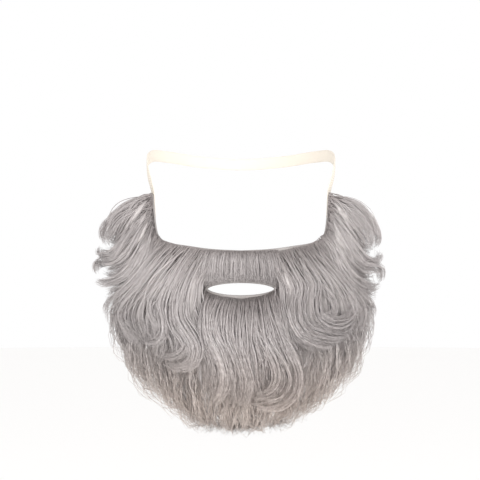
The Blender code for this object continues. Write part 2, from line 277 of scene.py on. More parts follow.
# %% The sheet and its opening
Edge = namedtuple("Edge", "s top bottom")
BACKING_EDGE = [
    Edge(0, 11.5, -58),
    Edge(25, 12.5, -57),
    Edge(50, 15, -54),
    Edge(78, 18.5, -47),
    Edge(92, 22.5, -40),
    Edge(99, 30, -35),
    Edge(102, 41, -32),
    Edge(104.5, 55, -30),
    Edge(108, 57.5, -28),
    Edge(116, 57.5, -22),
    Edge(122, 52, -15),
]
BACKING_WALL = 1.5
MOUTH_HALF_WIDTH = 26.0
MOUTH_HALF_HEIGHT = 5.2
MOUTH_Z = -18.3
MAP_WIDTH = 250.0
MAP_HEIGHT = 150.0


def cloth_edge(name, s):
    """The height of the cloth's top or bottom edge at the distances s round the form."""
    return smooth(abs(s), [edge.s for edge in BACKING_EDGE], [getattr(edge, name) for edge in BACKING_EDGE])


def cloth_halves(columns=72, rows=16):
    """The sheet as two grids, (s, z) from the top edge down. The upper half ends at
    middle + lens and the lower starts at middle - lens, and the lens is an ellipse that is nothing
    outside the opening. Beside it the middle drifts to halfway between the two edges."""
    half_width = float(form_column(FACE_FORM, "half_width", np.array([MOUTH_Z]))[0])
    corner = MEAN_RADIUS * math.asin(MOUTH_HALF_WIDTH / half_width)
    last = BACKING_EDGE[-1].s
    inner = corner * np.sin(np.linspace(-math.pi / 2, math.pi / 2, 41))
    outer = np.linspace(corner, last, columns)[1:]
    s = np.concatenate([-outer[::-1], inner, outer])
    top, bottom = cloth_edge("top", s), cloth_edge("bottom", s)
    x = half_width * np.sin(s / MEAN_RADIUS)
    lens = MOUTH_HALF_HEIGHT * np.sqrt(np.clip(1 - (x / MOUTH_HALF_WIDTH) ** 2, 0, 1))
    near = np.clip((80 - abs(s)) / 40, 0, 1)
    near = near * near * (3 - 2 * near)
    middle = MOUTH_Z * near + (top + bottom) / 2 * (1 - near)
    share = np.linspace(0, 1, rows)
    upper = top[:, None] * (1 - share) + (middle + lens)[:, None] * share
    lower = (middle - lens)[:, None] * (1 - share) + bottom[:, None] * share
    return s, upper, lower


s, upper, lower = cloth_halves()
wide = np.repeat(s[:, None], upper.shape[1], 1)
halves = [on_form(FACE_FORM, wide / MEAN_RADIUS, z, 0 * z)[0] for z in (upper, lower)]
number = np.arange(wide.size).reshape(wide.shape)
quads = np.stack([number[:-1, :-1], number[:-1, 1:], number[1:, 1:], number[1:, :-1]], -1).reshape(-1, 4)
quads = np.concatenate([quads, quads + wide.size])
flat = np.stack([np.tile(wide.ravel(), 2), np.concatenate([upper.ravel(), lower.ravel()])], -1)
corner_uv = (flat / [MAP_WIDTH, MAP_HEIGHT] + 0.5)[quads.ravel()]


# %% Its woven cloth
def plain_weave(tree, pitch_u, pitch_v):
    """A plain weave as a height from 0 to 1: 0.5 + 0.5 sin(2 pi u / pitch) sin(2 pi v / pitch),
    where the pitches are shares of the piece's map."""
    places = add(tree, "ShaderNodeUVMap", uv_map=MAP_NAME)
    split = add(tree, "ShaderNodeSeparateXYZ", {"Vector": places.outputs["UV"]})
    waves = []
    for axis, pitch in (("X", pitch_u), ("Y", pitch_v)):
        inputs = {0: split.outputs[axis], 1: 2 * math.pi / pitch}
        turns = add(tree, "ShaderNodeMath", inputs, operation="MULTIPLY")
        waves.append(add(tree, "ShaderNodeMath", {0: turns.outputs[0]}, operation="SINE"))
    both = {0: waves[0].outputs[0], 1: waves[1].outputs[0]}
    over = add(tree, "ShaderNodeMath", both, operation="MULTIPLY")
    half = {0: over.outputs[0], 1: 0.5, 2: 0.5}
    return add(tree, "ShaderNodeMath", half, operation="MULTIPLY_ADD").outputs[0]


# A plain cotton weave, dyed grey to match the hair. Real threads would be about 0.8 mm apart. They
# are drawn 1.6 mm apart here, so that they show as a fine, matt grain.
THREAD = 1.6
cotton, tree, shader = new_material("woven_grey_cotton")
weave = plain_weave(tree, 2 * THREAD / MAP_WIDTH, 2 * THREAD / MAP_HEIGHT)
cloth_grey = add(tree, "ShaderNodeValToRGB", {"Fac": weave}, [(0.0, "#8a8583"), (1.0, "#ada8a5")])
places = add(tree, "ShaderNodeTexCoord").outputs["Object"]
patches = add(tree, "ShaderNodeTexNoise", {"Vector": places, "Scale": 60.0, "Detail": 2.0})
fade = add(tree, "ShaderNodeValToRGB", {"Fac": patches.outputs["Fac"]}, [(0.3, "#e4e2e1"), (0.7, "#ffffff")])
inputs = {"Factor": 1.0, "A": cloth_grey.outputs["Color"], "B": fade.outputs["Color"]}
worn = add(tree, "ShaderNodeMix", inputs, data_type="RGBA", blend_type="MULTIPLY")
tree.links.new(worn.outputs["Result"], shader.inputs["Base Color"])
relief = add(tree, "ShaderNodeBump", {"Height": weave, "Strength": 0.6, "Distance": 0.0004})
tree.links.new(relief.outputs["Normal"], shader.inputs["Normal"])
shader.inputs["Roughness"].default_value = 0.92

vertices = np.concatenate([half.reshape(-1, 3) for half in halves])
backing = build_piece("backing_cloth", vertices, [quads], cotton, corner_uv)
weld = bmesh.new()
weld.from_mesh(backing.data)
bmesh.ops.remove_doubles(weld, verts=weld.verts, dist=0.00001)
weld.to_mesh(backing.data)
weld.free()
wall = backing.modifiers.new("wall", "SOLIDIFY")
wall.thickness = BACKING_WALL * MM
wall.offset = 1.0

# %% [markdown]
# ## Hem and stitches
#
# The cloth's raw edge is folded under and sewn, which leaves a soft roll all the way round it and
# round the mouth opening. Inside, the rows of stitches that hold the hair show as short threads. Both
# could be painted on, but the roll is seen edge on from the front, and stitches that stand up catch
# the light. The roll is a small ellipse carried along the edge, and the stitches are thin spindles,
# all made in one go.

# %% A profile carried along a closed or open line
def sweep(points, outward, half_width, half_thick, sides, closed):
    """Rings of an ellipse along a line: point + m a cos t + n b sin t, where n points outwards and m
    lies in the cloth, square to the line. The faces are rings by sides, and flat caps close an open
    line."""
    along = np.roll(points, -1, 0) - np.roll(points, 1, 0) if closed else np.gradient(points, axis=0)
    along /= np.linalg.norm(along, axis=1, keepdims=True)
    inside = np.cross(outward, along)
    inside /= np.linalg.norm(inside, axis=1, keepdims=True)
    out = np.cross(along, inside)
    turn = np.linspace(0, 2 * math.pi, sides, endpoint=False)
    rings = (
        points[:, None]
        + inside[:, None] * (half_width * MM * np.cos(turn))[None, :, None]
        + out[:, None] * (half_thick * MM * np.sin(turn))[None, :, None]
    )
    number = np.arange(len(points) * sides).reshape(len(points), sides)
    following = np.roll(number, -1, 0) if closed else number[1:]
    number_now = number if closed else number[:-1]
    quads = np.stack(
        [number_now, np.roll(number_now, -1, 1), np.roll(following, -1, 1), following], -1
    ).reshape(-1, 4)
    caps = [] if closed else [number[:1, ::-1], number[-1:]]
    return rings.reshape(-1, 3), [quads, *caps]


def even_loop(places, count):
    """A closed line of (s, z) places, stepped evenly along its length."""
    loop = np.vstack([places, places[:1]])
    travel = np.concatenate([[0], np.cumsum(np.hypot(*np.diff(loop, axis=0).T))])
    even = np.linspace(0, travel[-1], count, endpoint=False)
    return np.interp(even, travel, loop[:, 0]), np.interp(even, travel, loop[:, 1])


HEM_INSET = 1.0
HEM_HALF_WIDTH = 1.4
HEM_HALF_THICK = 1.0
HEM_SIDES = 8
last = BACKING_EDGE[-1].s - HEM_INSET
round_face = np.linspace(-last, last, 240)
rim = np.vstack(
    [
        np.stack([round_face, cloth_edge("top", round_face) - HEM_INSET], -1),
        np.stack([round_face, cloth_edge("bottom", round_face) + HEM_INSET], -1)[::-1],
    ]
)
turn = np.linspace(0, 2 * math.pi, 120, endpoint=False)
lens_z = MOUTH_Z + (MOUTH_HALF_HEIGHT + 0.9) * np.sin(turn)
lens_x = (MOUTH_HALF_WIDTH + 0.9) * np.cos(turn)
lens_s = MEAN_RADIUS * np.arcsin(lens_x / form_column(FACE_FORM, "half_width", lens_z))
hem_parts = []
for s_line, z_line in (even_loop(rim, 480), (lens_s, lens_z)):
    half_way = np.full(len(z_line), BACKING_WALL / 2)
    points, outward, _ = on_form(FACE_FORM, s_line / MEAN_RADIUS, z_line, half_way)
    hem_parts.append(sweep(points, outward, HEM_HALF_WIDTH, HEM_HALF_THICK, HEM_SIDES, True))
counts = [0, len(hem_parts[0][0])]
hem_faces = [part[1][0] + start for part, start in zip(hem_parts, counts)]
hem = build_piece("backing_hem", np.vstack([part[0] for part in hem_parts]), hem_faces, cotton)
outward_again(hem)
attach(hem, "root")
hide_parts("face_backing")


# %% Stitches
STITCH = 3.0
STITCH_STEP = 4.2
STITCH_SIDES = 5
STITCH_ROWS = 9
STITCH_RADIUS = 0.32
STITCH_SUNK = 0.12


def spindles(ends, radius):
    """Stitches from pairs of end points: each is a thin tube of three rings, thickest in its
    middle, with its ends drawn to a third."""
    start, stop = ends[:, 0], ends[:, 1]
    along = (stop - start) / np.linalg.norm(stop - start, axis=1, keepdims=True)
    one = np.cross(along, [0.0, 0.0, 1.0])
    one = np.where(np.linalg.norm(one, axis=1, keepdims=True) < 0.1, np.cross(along, [1.0, 0.0, 0.0]), one)
    one /= np.linalg.norm(one, axis=1, keepdims=True)
    two = np.cross(along, one)
    turn = np.arange(STITCH_SIDES) * 2 * math.pi / STITCH_SIDES
    spoke = one[:, None] * np.cos(turn)[:, None] + two[:, None] * np.sin(turn)[:, None]
    rings = np.stack(
        [
            (start + (stop - start) * share)[:, None] + spoke * radius * size * MM
            for share, size in ((0.0, 0.35), (0.5, 1.0), (1.0, 0.35))
        ],
        1,
    )
    number = np.arange(len(ends) * 3 * STITCH_SIDES).reshape(len(ends), 3, STITCH_SIDES)
    after = np.roll(number, -1, 2)
    quads = np.stack([number[:, :-1], after[:, :-1], after[:, 1:], number[:, 1:]], -1).reshape(-1, 4)
    return rings.reshape(-1, 3), [quads, number[:, 0, ::-1], number[:, -1]]


columns = np.arange(-114, 114, STITCH_STEP)
share = (np.arange(STITCH_ROWS) + 0.5) / STITCH_ROWS
s = columns[None] + (np.arange(STITCH_ROWS)[:, None] % 2) * STITCH_STEP / 2
ends = []
for shift in (0, STITCH):
    top, bottom = cloth_edge("top", s + shift), cloth_edge("bottom", s + shift)
    z = top * (1 - share[:, None]) + bottom * share[:, None]
    sunk = np.full(s.shape, -STITCH_SUNK)
    ends.append(on_form(FACE_FORM, (s + shift) / MEAN_RADIUS, z, sunk)[0].reshape(-1, 3))
ends = np.stack(ends, 1)
middle = ends.mean(1) / MM
beside = abs(middle[:, 0]) >= MOUTH_HALF_WIDTH + 4
above_or_below = abs(middle[:, 2] - MOUTH_Z) >= MOUTH_HALF_HEIGHT + 3
in_front = middle[:, 1] < 90
vertices, faces = spindles(ends[(beside | above_or_below) & in_front], STITCH_RADIUS)

# Polyester sewing thread, twisted and slightly glossy. It reads as small pale dashes on the cloth.
thread, tree, shader = new_material("grey_sewing_thread")
places = add(tree, "ShaderNodeTexCoord").outputs["Object"]
twist = add(tree, "ShaderNodeTexNoise", {"Vector": places, "Scale": 900.0, "Detail": 1.0})
stops = [(0.35, "#b9b4b1"), (0.65, "#dcd7d4")]
twist_grey = add(tree, "ShaderNodeValToRGB", {"Fac": twist.outputs["Fac"]}, stops)
tree.links.new(twist_grey.outputs["Color"], shader.inputs["Base Color"])
shader.inputs["Roughness"].default_value = 0.45
stitches = build_piece("weft_stitches", vertices, faces, thread)
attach(stitches, "root")
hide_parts("face_backing")
print("Stitches:", len(faces[1]))

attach(backing, "root")
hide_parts("face_backing")

# %% [markdown]
# ## The elastic
#
# A flat braided elastic is sewn inside the top of each tab and runs up and round behind in one piece.
# It is 10 mm wide with soft edges and shallow cords. A bevelled curve would give it a round or a
# plain flat section, so one closed profile with the cords in it is carried along the same route as
# the solid band.

# %% The elastic band
Turn = namedtuple("Turn", "angle z h")
STRAP_ROUTE = [
    Turn(73.5, 38, -1.0),
    Turn(74, 48, -1.0),
    Turn(75, 60, -1.0),
    Turn(80, 73, 0.6),
    Turn(90, 84, 1.2),
    Turn(105, 91, 1.2),
    Turn(126, 92, 1.2),
    Turn(152, 89, 1.2),
    Turn(180, 87, 1.2),
]
STRAP_WIDTH = 10.0
STRAP_WALL = 1.2
STRAP_STEPS = 220
STRAP_SIDES = 36
CORDS = 6

route = np.array(STRAP_ROUTE, float)
mirrored = route[-2::-1] * [-1, 1, 1] + [360, 0, 0]
route = np.vstack([route, mirrored])
travel = np.concatenate([[0], np.cumsum(np.hypot(np.diff(route[:, 0]) * 1.5, np.diff(route[:, 1])))])
at = np.linspace(0, travel[-1], STRAP_STEPS)
angle, z, h = (smooth(at, travel, route[:, k]) for k in range(3))
points, outward, _ = on_form(FACE_FORM, np.radians(angle), z, h)
tangent = np.gradient(points, axis=0)
tangent /= np.linalg.norm(tangent, axis=1, keepdims=True)
edgewise = np.cross(outward, tangent)
edgewise /= np.linalg.norm(edgewise, axis=1, keepdims=True)
flatwise = np.cross(tangent, edgewise)
turn = np.linspace(0, 2 * math.pi, STRAP_SIDES, endpoint=False)
# The profile is a rounded slot, and its faces swell and sink by a tenth over each cord.
across = np.sign(np.cos(turn)) * abs(np.cos(turn)) ** 0.55 * STRAP_WIDTH / 2
thick = np.sign(np.sin(turn)) * abs(np.sin(turn)) ** 0.45 * STRAP_WALL / 2
thick = thick * (0.9 + 0.1 * np.cos(2 * math.pi * CORDS * across / STRAP_WIDTH))
rings = (
    points[:, None]
    + edgewise[:, None] * (across * MM)[None, :, None]
    + flatwise[:, None] * (thick * MM)[None, :, None]
)
number = np.arange(STRAP_STEPS * STRAP_SIDES).reshape(STRAP_STEPS, STRAP_SIDES)
after = np.roll(number, -1, 1)
quads = np.stack([number[:-1], after[:-1], after[1:], number[1:]], -1).reshape(-1, 4)
u = np.arange(STRAP_SIDES + 1) / STRAP_SIDES
v = np.linspace(0, 1, STRAP_STEPS)
place = np.stack(np.broadcast_arrays(u[None], v[:, None]), -1)
corner = np.stack([place[:-1, :-1], place[:-1, 1:], place[1:, 1:], place[1:, :-1]], 2).reshape(-1, 2)
ends_uv = np.vstack([place[0, STRAP_SIDES - 1 :: -1], place[-1, :STRAP_SIDES]])
strap_length = float(np.linalg.norm(np.diff(points, axis=0), axis=1).sum())

# Braided polyester over rubber threads, bleached and slightly yellowed. It shows a matt, warm white
# with fine ribs across it, 1.2 mm apart, and shallow cords along it.
RIB = 0.0012
elastic, tree, shader = new_material("braided_white_elastic")
braid = plain_weave(tree, 2 / STRAP_SIDES, 2 * RIB / strap_length)
stops = [(0.0, "#d8cdbd"), (0.5, "#e9e0d3"), (1.0, "#f3ede3")]
warm_white = add(tree, "ShaderNodeValToRGB", {"Fac": braid}, stops)
tree.links.new(warm_white.outputs["Color"], shader.inputs["Base Color"])
relief = add(tree, "ShaderNodeBump", {"Height": braid, "Strength": 0.5, "Distance": 0.0003})
tree.links.new(relief.outputs["Normal"], shader.inputs["Normal"])
shader.inputs["Roughness"].default_value = 0.8
faces = [quads, number[:1, ::-1], number[-1:]]
band = build_piece("elastic_band", rings.reshape(-1, 3), faces, elastic, np.vstack([corner, ends_uv]))
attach(band, "root")
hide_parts("elastic_strap")
print("Elastic, metres:", round(strap_length, 3))

# %% [markdown]
# ## How the hair falls
#
# Wavy hair falls in locks. The top layer is drawn as it is seen from the front: a guide is a short
# row of places (x, z), from its root on the cloth's upper edge to its tip, and it shows every hook
# and curl. How deep the lock lies isn't drawn. It is worked out from one outer form, which rises
# from the cloth at the root and stands out furthest at the sides. Two kinds of guide are drawn this
# way: an even sheet of locks that covers the cloth, and single curls that lie on it. Curls alone
# would leave the cloth bare between them, and a sheet alone would look like a curtain.

# %% The outer form of the hair
Depth = namedtuple("Depth", "z front side")
HAIR_DEPTH = [
    Depth(60, 6, 34),
    Depth(35, 8, 39),
    Depth(0, 12, 46),
    Depth(-25, 17, 45),
    Depth(-45, 20, 39),
    Depth(-65, 21, 33),
    Depth(-85, 21, 28),
    Depth(-105, 19, 20),
    Depth(-125, 16, 14),
]
CLOTH = 1.9
PATH_STEPS = 64
Paths = namedtuple("Paths", "points across through height width thick")
Guide = namedtuple("Guide", "width thick rise extra places")


def frames_along(points, face_on):
    """The two directions of a lock's section at each step: across = face_on x tangent, and
    through = tangent x across, which points outwards."""
    tangent = np.gradient(points, axis=-2)
    tangent /= np.linalg.norm(tangent, axis=-1, keepdims=True)
    across = np.cross(face_on, tangent)
    across /= np.linalg.norm(across, axis=-1, keepdims=True)
    return across, np.cross(tangent, across)


def seen_from_front(x, z, risen):
    """Brings places seen from the front onto the hair's outer form. At each place the form is
    worked out for a fan of angles, and the angle is read off where its x, drawn together by the
    distance to the camera, is the wanted one. The height is spread by the same distance. A place
    beyond the fan's last angle simply stands out sideways."""
    fan = np.radians(np.linspace(-80, 80, 121))
    spread = np.ones_like(x)
    for _ in range(3):
        level = 20 + (z - 20) * spread
        front = form_column(HAIR_DEPTH, "front", level)[..., None]
        side = form_column(HAIR_DEPTH, "side", level)[..., None]
        full = front + (side - front) * np.sin(fan) ** 6
        h = CLOTH + (full - CLOTH) * risen[..., None]
        levels = np.broadcast_to(level[..., None], h.shape)
        points, outward, _ = on_form(HAIR_FORM, np.broadcast_to(fan, h.shape), levels, h)
        away = 1 + points[..., 1] / CAMERA_DISTANCE
        seen = np.maximum.accumulate(points[..., 0] / MM / away, axis=-1)
        i = np.clip((seen < x[..., None]).sum(-1) - 1, 0, len(fan) - 2)[..., None]
        low, high = np.take_along_axis(seen, i, -1), np.take_along_axis(seen, i + 1, -1)
        share = np.clip((x[..., None] - low) / np.maximum(high - low, 1e-6), 0, 1)[..., None]
        i = i[..., None]
        blends = (
            np.take_along_axis(a, i, -2) * (1 - share) + np.take_along_axis(a, i + 1, -2) * share
            for a in (points, outward, h[..., None])
        )
        place, normal, height = (blend[..., 0, :] for blend in blends)
        spread = 1 + place[..., 1] / CAMERA_DISTANCE
    missing = x * spread - place[..., 0] / MM
    place[..., 0] += missing * MM
    return place, normal, height + abs(missing * normal[..., 0])[..., None]


def guide_path(guide):
    """A guide as even steps: a smooth curve through its places, stepped evenly along its length."""
    places = np.array(guide.places, float)
    stations = np.arange(len(places))
    fine = np.linspace(0, len(places) - 1, 400)
    x, z = (smooth(fine, stations, places[:, k]) for k in (0, 1))
    along = np.concatenate([[0], np.cumsum(np.hypot(np.diff(x), np.diff(z)))])
    even = np.linspace(0, along[-1], PATH_STEPS)
    return np.interp(even, along, x), np.interp(even, along, z)


def guide_paths(guides):
    """The paths and section directions of one row of guides. A lock rises from the cloth over its
    own share of its length, and may then stand a little further out than the form."""
    x, z = np.array([guide_path(guide) for guide in guides]).transpose(1, 0, 2)
    width, thick, rise, extra = np.array([guide[:4] for guide in guides], float).T
    along = np.linspace(0, 1, PATH_STEPS)
    risen = np.sin(math.pi / 2 * np.minimum(along / rise[:, None], 1))
    points, normal, height = seen_from_front(x, z, risen)
    more = extra[:, None] * np.clip((along - 0.3) / 0.3, 0, 1)
    points = points + normal * (more * MM)[..., None]
    across, through = frames_along(points, normal)
    return Paths(points, across, through, height + more[..., None], width, thick)


# %% The guides of the top layer, in millimetres
LEFT_GUIDES = [
    Guide(13, 8, 0.8, -2, [(-69, 53), (-79, 47), (-88, 38), (-96, 27), (-99, 18)]),
    Guide(12, 8, 0.8, -2, [(-69, 47), (-77, 39), (-86, 29), (-94, 19), (-102, 13), (-108, 12)]),
    Guide(12, 8, 0.7, -2, [(-69, 40), (-77, 29), (-86, 18), (-94, 11), (-105, 8), (-110, 5)]),
    Guide(12, 9, 0.7, -2, [(-69, 32), (-76, 19), (-84, 8), (-94, 0), (-105, -2), (-111, -2)]),
    Guide(12, 9, 0.6, -2, [(-67, 29), (-75, 15), (-83, 4), (-92, -4), (-103, -6), (-110, -5)]),
    Guide(12, 9, 0.6, -2, [(-66, 25), (-73, 11), (-82, -1), (-92, -9), (-103, -10), (-109, -8)]),
    Guide(12, 9, 0.6, -1, [(-62, 21), (-71, 6), (-81, -7), (-91, -15), (-103, -17), (-109, -17)]),
    Guide(12, 9, 0.6, -1, [(-61, 20), (-70, 5), (-81, -8), (-91, -17), (-102, -22), (-108, -27)]),
    Guide(13, 10, 0.5, 0,
          [(-59, 19), (-69, 4), (-80, -10), (-91, -20), (-101, -27), (-106, -35), (-103, -42)]),
    Guide(15, 12, 0.4, 0,
          [(-55, 18), (-66, 4), (-78, -11), (-89, -24), (-94, -37), (-92, -50), (-86, -60)]),
    Guide(15, 12, 0.35, 0,
          [(-48, 16), (-59, 1), (-70, -14), (-79, -28), (-82, -41), (-78, -53), (-72, -63)]),
    Guide(15, 12, 0.35, 0,
          [(-40, 15), (-50, 0), (-59, -14), (-66, -28), (-67, -41), (-63, -53), (-62, -66),
           (-68, -76)]),
    Guide(14, 11, 0.35, 0,
          [(-35, 14), (-44, -2), (-51, -17), (-55, -31), (-55, -44), (-50, -56), (-48, -67),
           (-54, -80)]),
    Guide(14, 11, 0.35, 0,
          [(-30, 13), (-40, -3), (-47, -19), (-49, -33), (-45, -46), (-38, -58), (-36, -71),
           (-41, -85)]),
    Guide(13, 11, 0.35, -5,
          [(-27, 11), (-34, -3), (-40, -19), (-43, -33), (-41, -47), (-34, -60), (-31, -74),
           (-34, -91)]),
    Guide(9, 9, 0.7, -10,
          [(-21, 11), (-27, -2), (-34, -15), (-37, -29), (-36, -44), (-33, -59), (-30, -74),
           (-31, -88)]),
]
MIDDLE_GUIDES = [
    Guide(11, 10, 0.5, -4,
          [(-27, -20), (-28, -33), (-29, -46), (-28, -60), (-25, -74), (-26, -89), (-31, -102)]),
    Guide(14, 13, 0.3, 0,
          [(-23, -22), (-26, -36), (-26, -51), (-21, -66), (-17, -82), (-18, -98), (-25, -111)]),
    Guide(15, 13, 0.3, 0,
          [(-16, -24), (-20, -39), (-19, -53), (-12, -67), (-8, -82), (-8, -98), (-12, -113)]),
    Guide(15, 13, 0.3, 0, [(-8, -25), (-11, -39), (-11, -54), (-5, -68), (-2, -85), (-2, -99), (-6, -115)]),
    Guide(15, 13, 0.3, 0, [(0, -26), (-2, -40), (-2, -55), (0, -71), (3, -87), (5, -102), (2, -116)]),
    Guide(15, 13, 0.3, 0, [(7, -25), (7, -40), (7, -56), (9, -71), (11, -86), (14, -100), (13, -113)]),
    Guide(14, 13, 0.3, 0, [(14, -24), (16, -39), (19, -54), (23, -68), (27, -83), (27, -97), (24, -110)]),
    Guide(15, 13, 0.3, 0, [(21, -22), (23, -37), (28, -51), (34, -66), (38, -81), (38, -95), (35, -108)]),
    Guide(11, 10, 0.5, -4, [(27, -19), (30, -33), (34, -48), (38, -60), (44, -73), (48, -86), (46, -100)]),
]
RIGHT_GUIDES = [
    Guide(9, 9, 0.7, -8,
          [(22, 11), (27, -2), (33, -15), (36, -29), (37, -44), (41, -58), (48, -70), (55, -78)]),
    Guide(13, 11, 0.35, -4,
          [(28, 11), (35, -4), (41, -19), (42, -33), (44, -46), (50, -56), (58, -66), (64, -75)]),
    Guide(14, 12, 0.35, 0,
          [(34, 12), (41, -3), (47, -17), (44, -30), (45, -42), (52, -53), (62, -62), (73, -67)]),
    Guide(14, 12, 0.35, 0,
          [(41, 14), (50, -1), (57, -14), (55, -27), (56, -39), (64, -49), (76, -56), (86, -56)]),
    Guide(14, 12, 0.35, 0,
          [(47, 15), (55, 1), (64, -12), (68, -24), (69, -36), (74, -46), (83, -51), (92, -49)]),
    Guide(15, 12, 0.35, 0,
          [(51, 16), (61, 2), (72, -11), (80, -24), (83, -36), (82, -48), (76, -58), (68, -63)]),
    Guide(15, 12, 0.4, 0, [(56, 18), (66, 4), (77, -9), (87, -21), (94, -33), (93, -46), (85, -56)]),
    Guide(13, 10, 0.5, 0, [(59, 20), (68, 6), (79, -7), (90, -18), (100, -27), (104, -36), (101, -46)]),
    Guide(12, 9, 0.6, -1, [(62, 23), (71, 8), (80, -5), (91, -15), (101, -21), (108, -20)]),
    Guide(12, 9, 0.6, -1, [(64, 24), (72, 10), (81, -3), (91, -13), (102, -18), (108, -16)]),
    Guide(12, 9, 0.6, -2, [(66, 26), (73, 12), (82, 0), (91, -10), (102, -14), (108, -12)]),
    Guide(12, 9, 0.7, -2, [(68, 32), (76, 19), (84, 8), (93, -2), (103, -6), (109, -5)]),
    Guide(12, 8, 0.7, -2, [(69, 36), (76, 24), (85, 13), (94, 3), (103, 0), (109, -1)]),
    Guide(12, 8, 0.7, -2, [(69, 40), (76, 29), (85, 18), (94, 8), (103, 5), (108, 4)]),
    Guide(12, 8, 0.8, -2, [(69, 47), (76, 39), (86, 28), (94, 18), (101, 11), (106, 10)]),
    Guide(13, 8, 0.8, -3, [(69, 53), (77, 46), (87, 37), (95, 27), (98, 18)]),
]

# The curls that lie on the top layer, each one a lock of its own
LEFT_CURLS = [
    Guide(12, 8, 0.8, 1, [(-69, 52), (-80, 50), (-91, 43), (-101, 36), (-106, 29), (-107, 22), (-103, 16)]),
    Guide(14, 9, 0.8, 2, [(-69, 49), (-80, 45), (-91, 38), (-98, 29), (-101, 21), (-99, 15)]),
    Guide(9, 8, 0.7, 2,
          [(-69, 41), (-78, 34), (-87, 22), (-94, 12), (-101, 8), (-108, 9), (-109, 13), (-105, 15)]),
    Guide(9, 8, 0.7, 1,
          [(-69, 33), (-76, 23), (-86, 12), (-96, 5), (-105, 4), (-112, 2), (-112, -4), (-108, -8)]),
    Guide(9, 8, 0.6, 1, [(-67, 25), (-75, 14), (-82, 0), (-91, -9), (-102, -13), (-111, -13), (-114, -10)]),
    Guide(12, 8, 0.4, 2,
          [(-57, 6), (-71, -10), (-83, -22), (-91, -35), (-89, -47), (-82, -56), (-73, -60)]),
    Guide(7, 7, 0.4, 2.5,
          [(-49, 3), (-60, -13), (-68, -27), (-67, -39), (-63, -48), (-66, -53), (-72, -50)]),
    Guide(9, 8, 0.4, 3.5,
          [(-41, 6), (-51, -7), (-59, -20), (-61, -32), (-58, -43), (-58, -53), (-64, -59), (-72, -57),
           (-76, -51)]),
    Guide(7, 7, 0.4, 2.5,
          [(-40, -3), (-48, -19), (-52, -33), (-50, -46), (-44, -55), (-41, -63), (-46, -69),
           (-55, -72), (-64, -70)]),
    Guide(10, 8, 0.4, 3.5,
          [(-32, 3), (-41, -13), (-47, -28), (-46, -41), (-40, -51), (-34, -62), (-35, -73),
           (-43, -79), (-52, -78), (-59, -74)]),
]
MIDDLE_CURLS = [
    Guide(9, 8, 0.3, 4,
          [(9, -27), (11, -42), (16, -58), (23, -72), (26, -85), (23, -95), (15, -100), (7, -99)]),
    Guide(14, 10, 0.3, 6,
          [(17, -25), (20, -41), (25, -56), (33, -71), (37, -85), (35, -97), (27, -106), (15, -108),
           (4, -106)]),
    Guide(10, 8, 0.3, 4, [(-4, -27), (-7, -42), (-6, -56), (-1, -71), (4, -87), (3, -102), (-3, -114)]),
    Guide(9, 8, 0.3, 3,
          [(-20, -24), (-23, -39), (-23, -55), (-16, -70), (-12, -85), (-15, -100), (-23, -111)]),
]
RIGHT_CURLS = [
    Guide(8, 8, 0.4, 2, [(34, -15), (36, -31), (39, -44), (45, -55), (55, -61), (66, -63), (74, -59)]),
    Guide(11, 8, 0.4, 3,
          [(38, 3), (45, -11), (44, -25), (44, -38), (49, -49), (60, -54), (73, -56), (83, -51)]),
    Guide(7, 7, 0.4, 2.5, [(50, 1), (59, -12), (68, -24), (70, -35), (65, -41), (58, -35)]),
    Guide(10, 8, 0.4, 3.5,
          [(60, 6), (72, -7), (82, -19), (86, -32), (80, -43), (69, -46), (59, -41), (53, -31)]),
    Guide(9, 8, 0.6, 1, [(66, 25), (73, 14), (78, 0), (86, -10), (96, -16), (105, -17), (110, -14)]),
    Guide(9, 8, 0.7, 1,
          [(68, 32), (76, 22), (84, 9), (93, 1), (102, 0), (108, -3), (108, -10), (104, -14)]),
    Guide(9, 8, 0.7, 2, [(69, 41), (77, 31), (85, 18), (92, 8), (99, 3), (105, 4), (107, 9), (102, 11)]),
    Guide(14, 9, 0.8, 2, [(68, 49), (79, 44), (89, 37), (97, 27), (99, 18), (98, 12)]),
    Guide(12, 8, 0.8, 1, [(68, 53), (78, 50), (90, 43), (100, 35), (105, 25), (105, 18), (101, 12)]),
]


top_rows = [guide_paths(guides) for guides in (LEFT_GUIDES, MIDDLE_GUIDES, RIGHT_GUIDES)]
curl_rows = [guide_paths(guides) for guides in (LEFT_CURLS, MIDDLE_CURLS, RIGHT_CURLS)]
print("Guides:", [len(row.width) for row in top_rows], "curls:", [len(row.width) for row in curl_rows])

# %% [markdown]
# ## The layers below
#
# The layers below the top one only show at the outline, from the sides and from behind, so they are
# drawn more simply, once for both sides. Each lock is a path drawn by its heading: 0 is straight down
# and 90 is outwards, turning smoothly through five angles from root to tip. A negative heading turns
# back towards the middle, and one past 90 curls up. The locks between two rows of a table are blends
# of them with small chance changes, because hair in one row falls alike but never the same. The jaw's
# ends also roll under, as a trimmed and curled edge does, so that no straight tips stick out below.

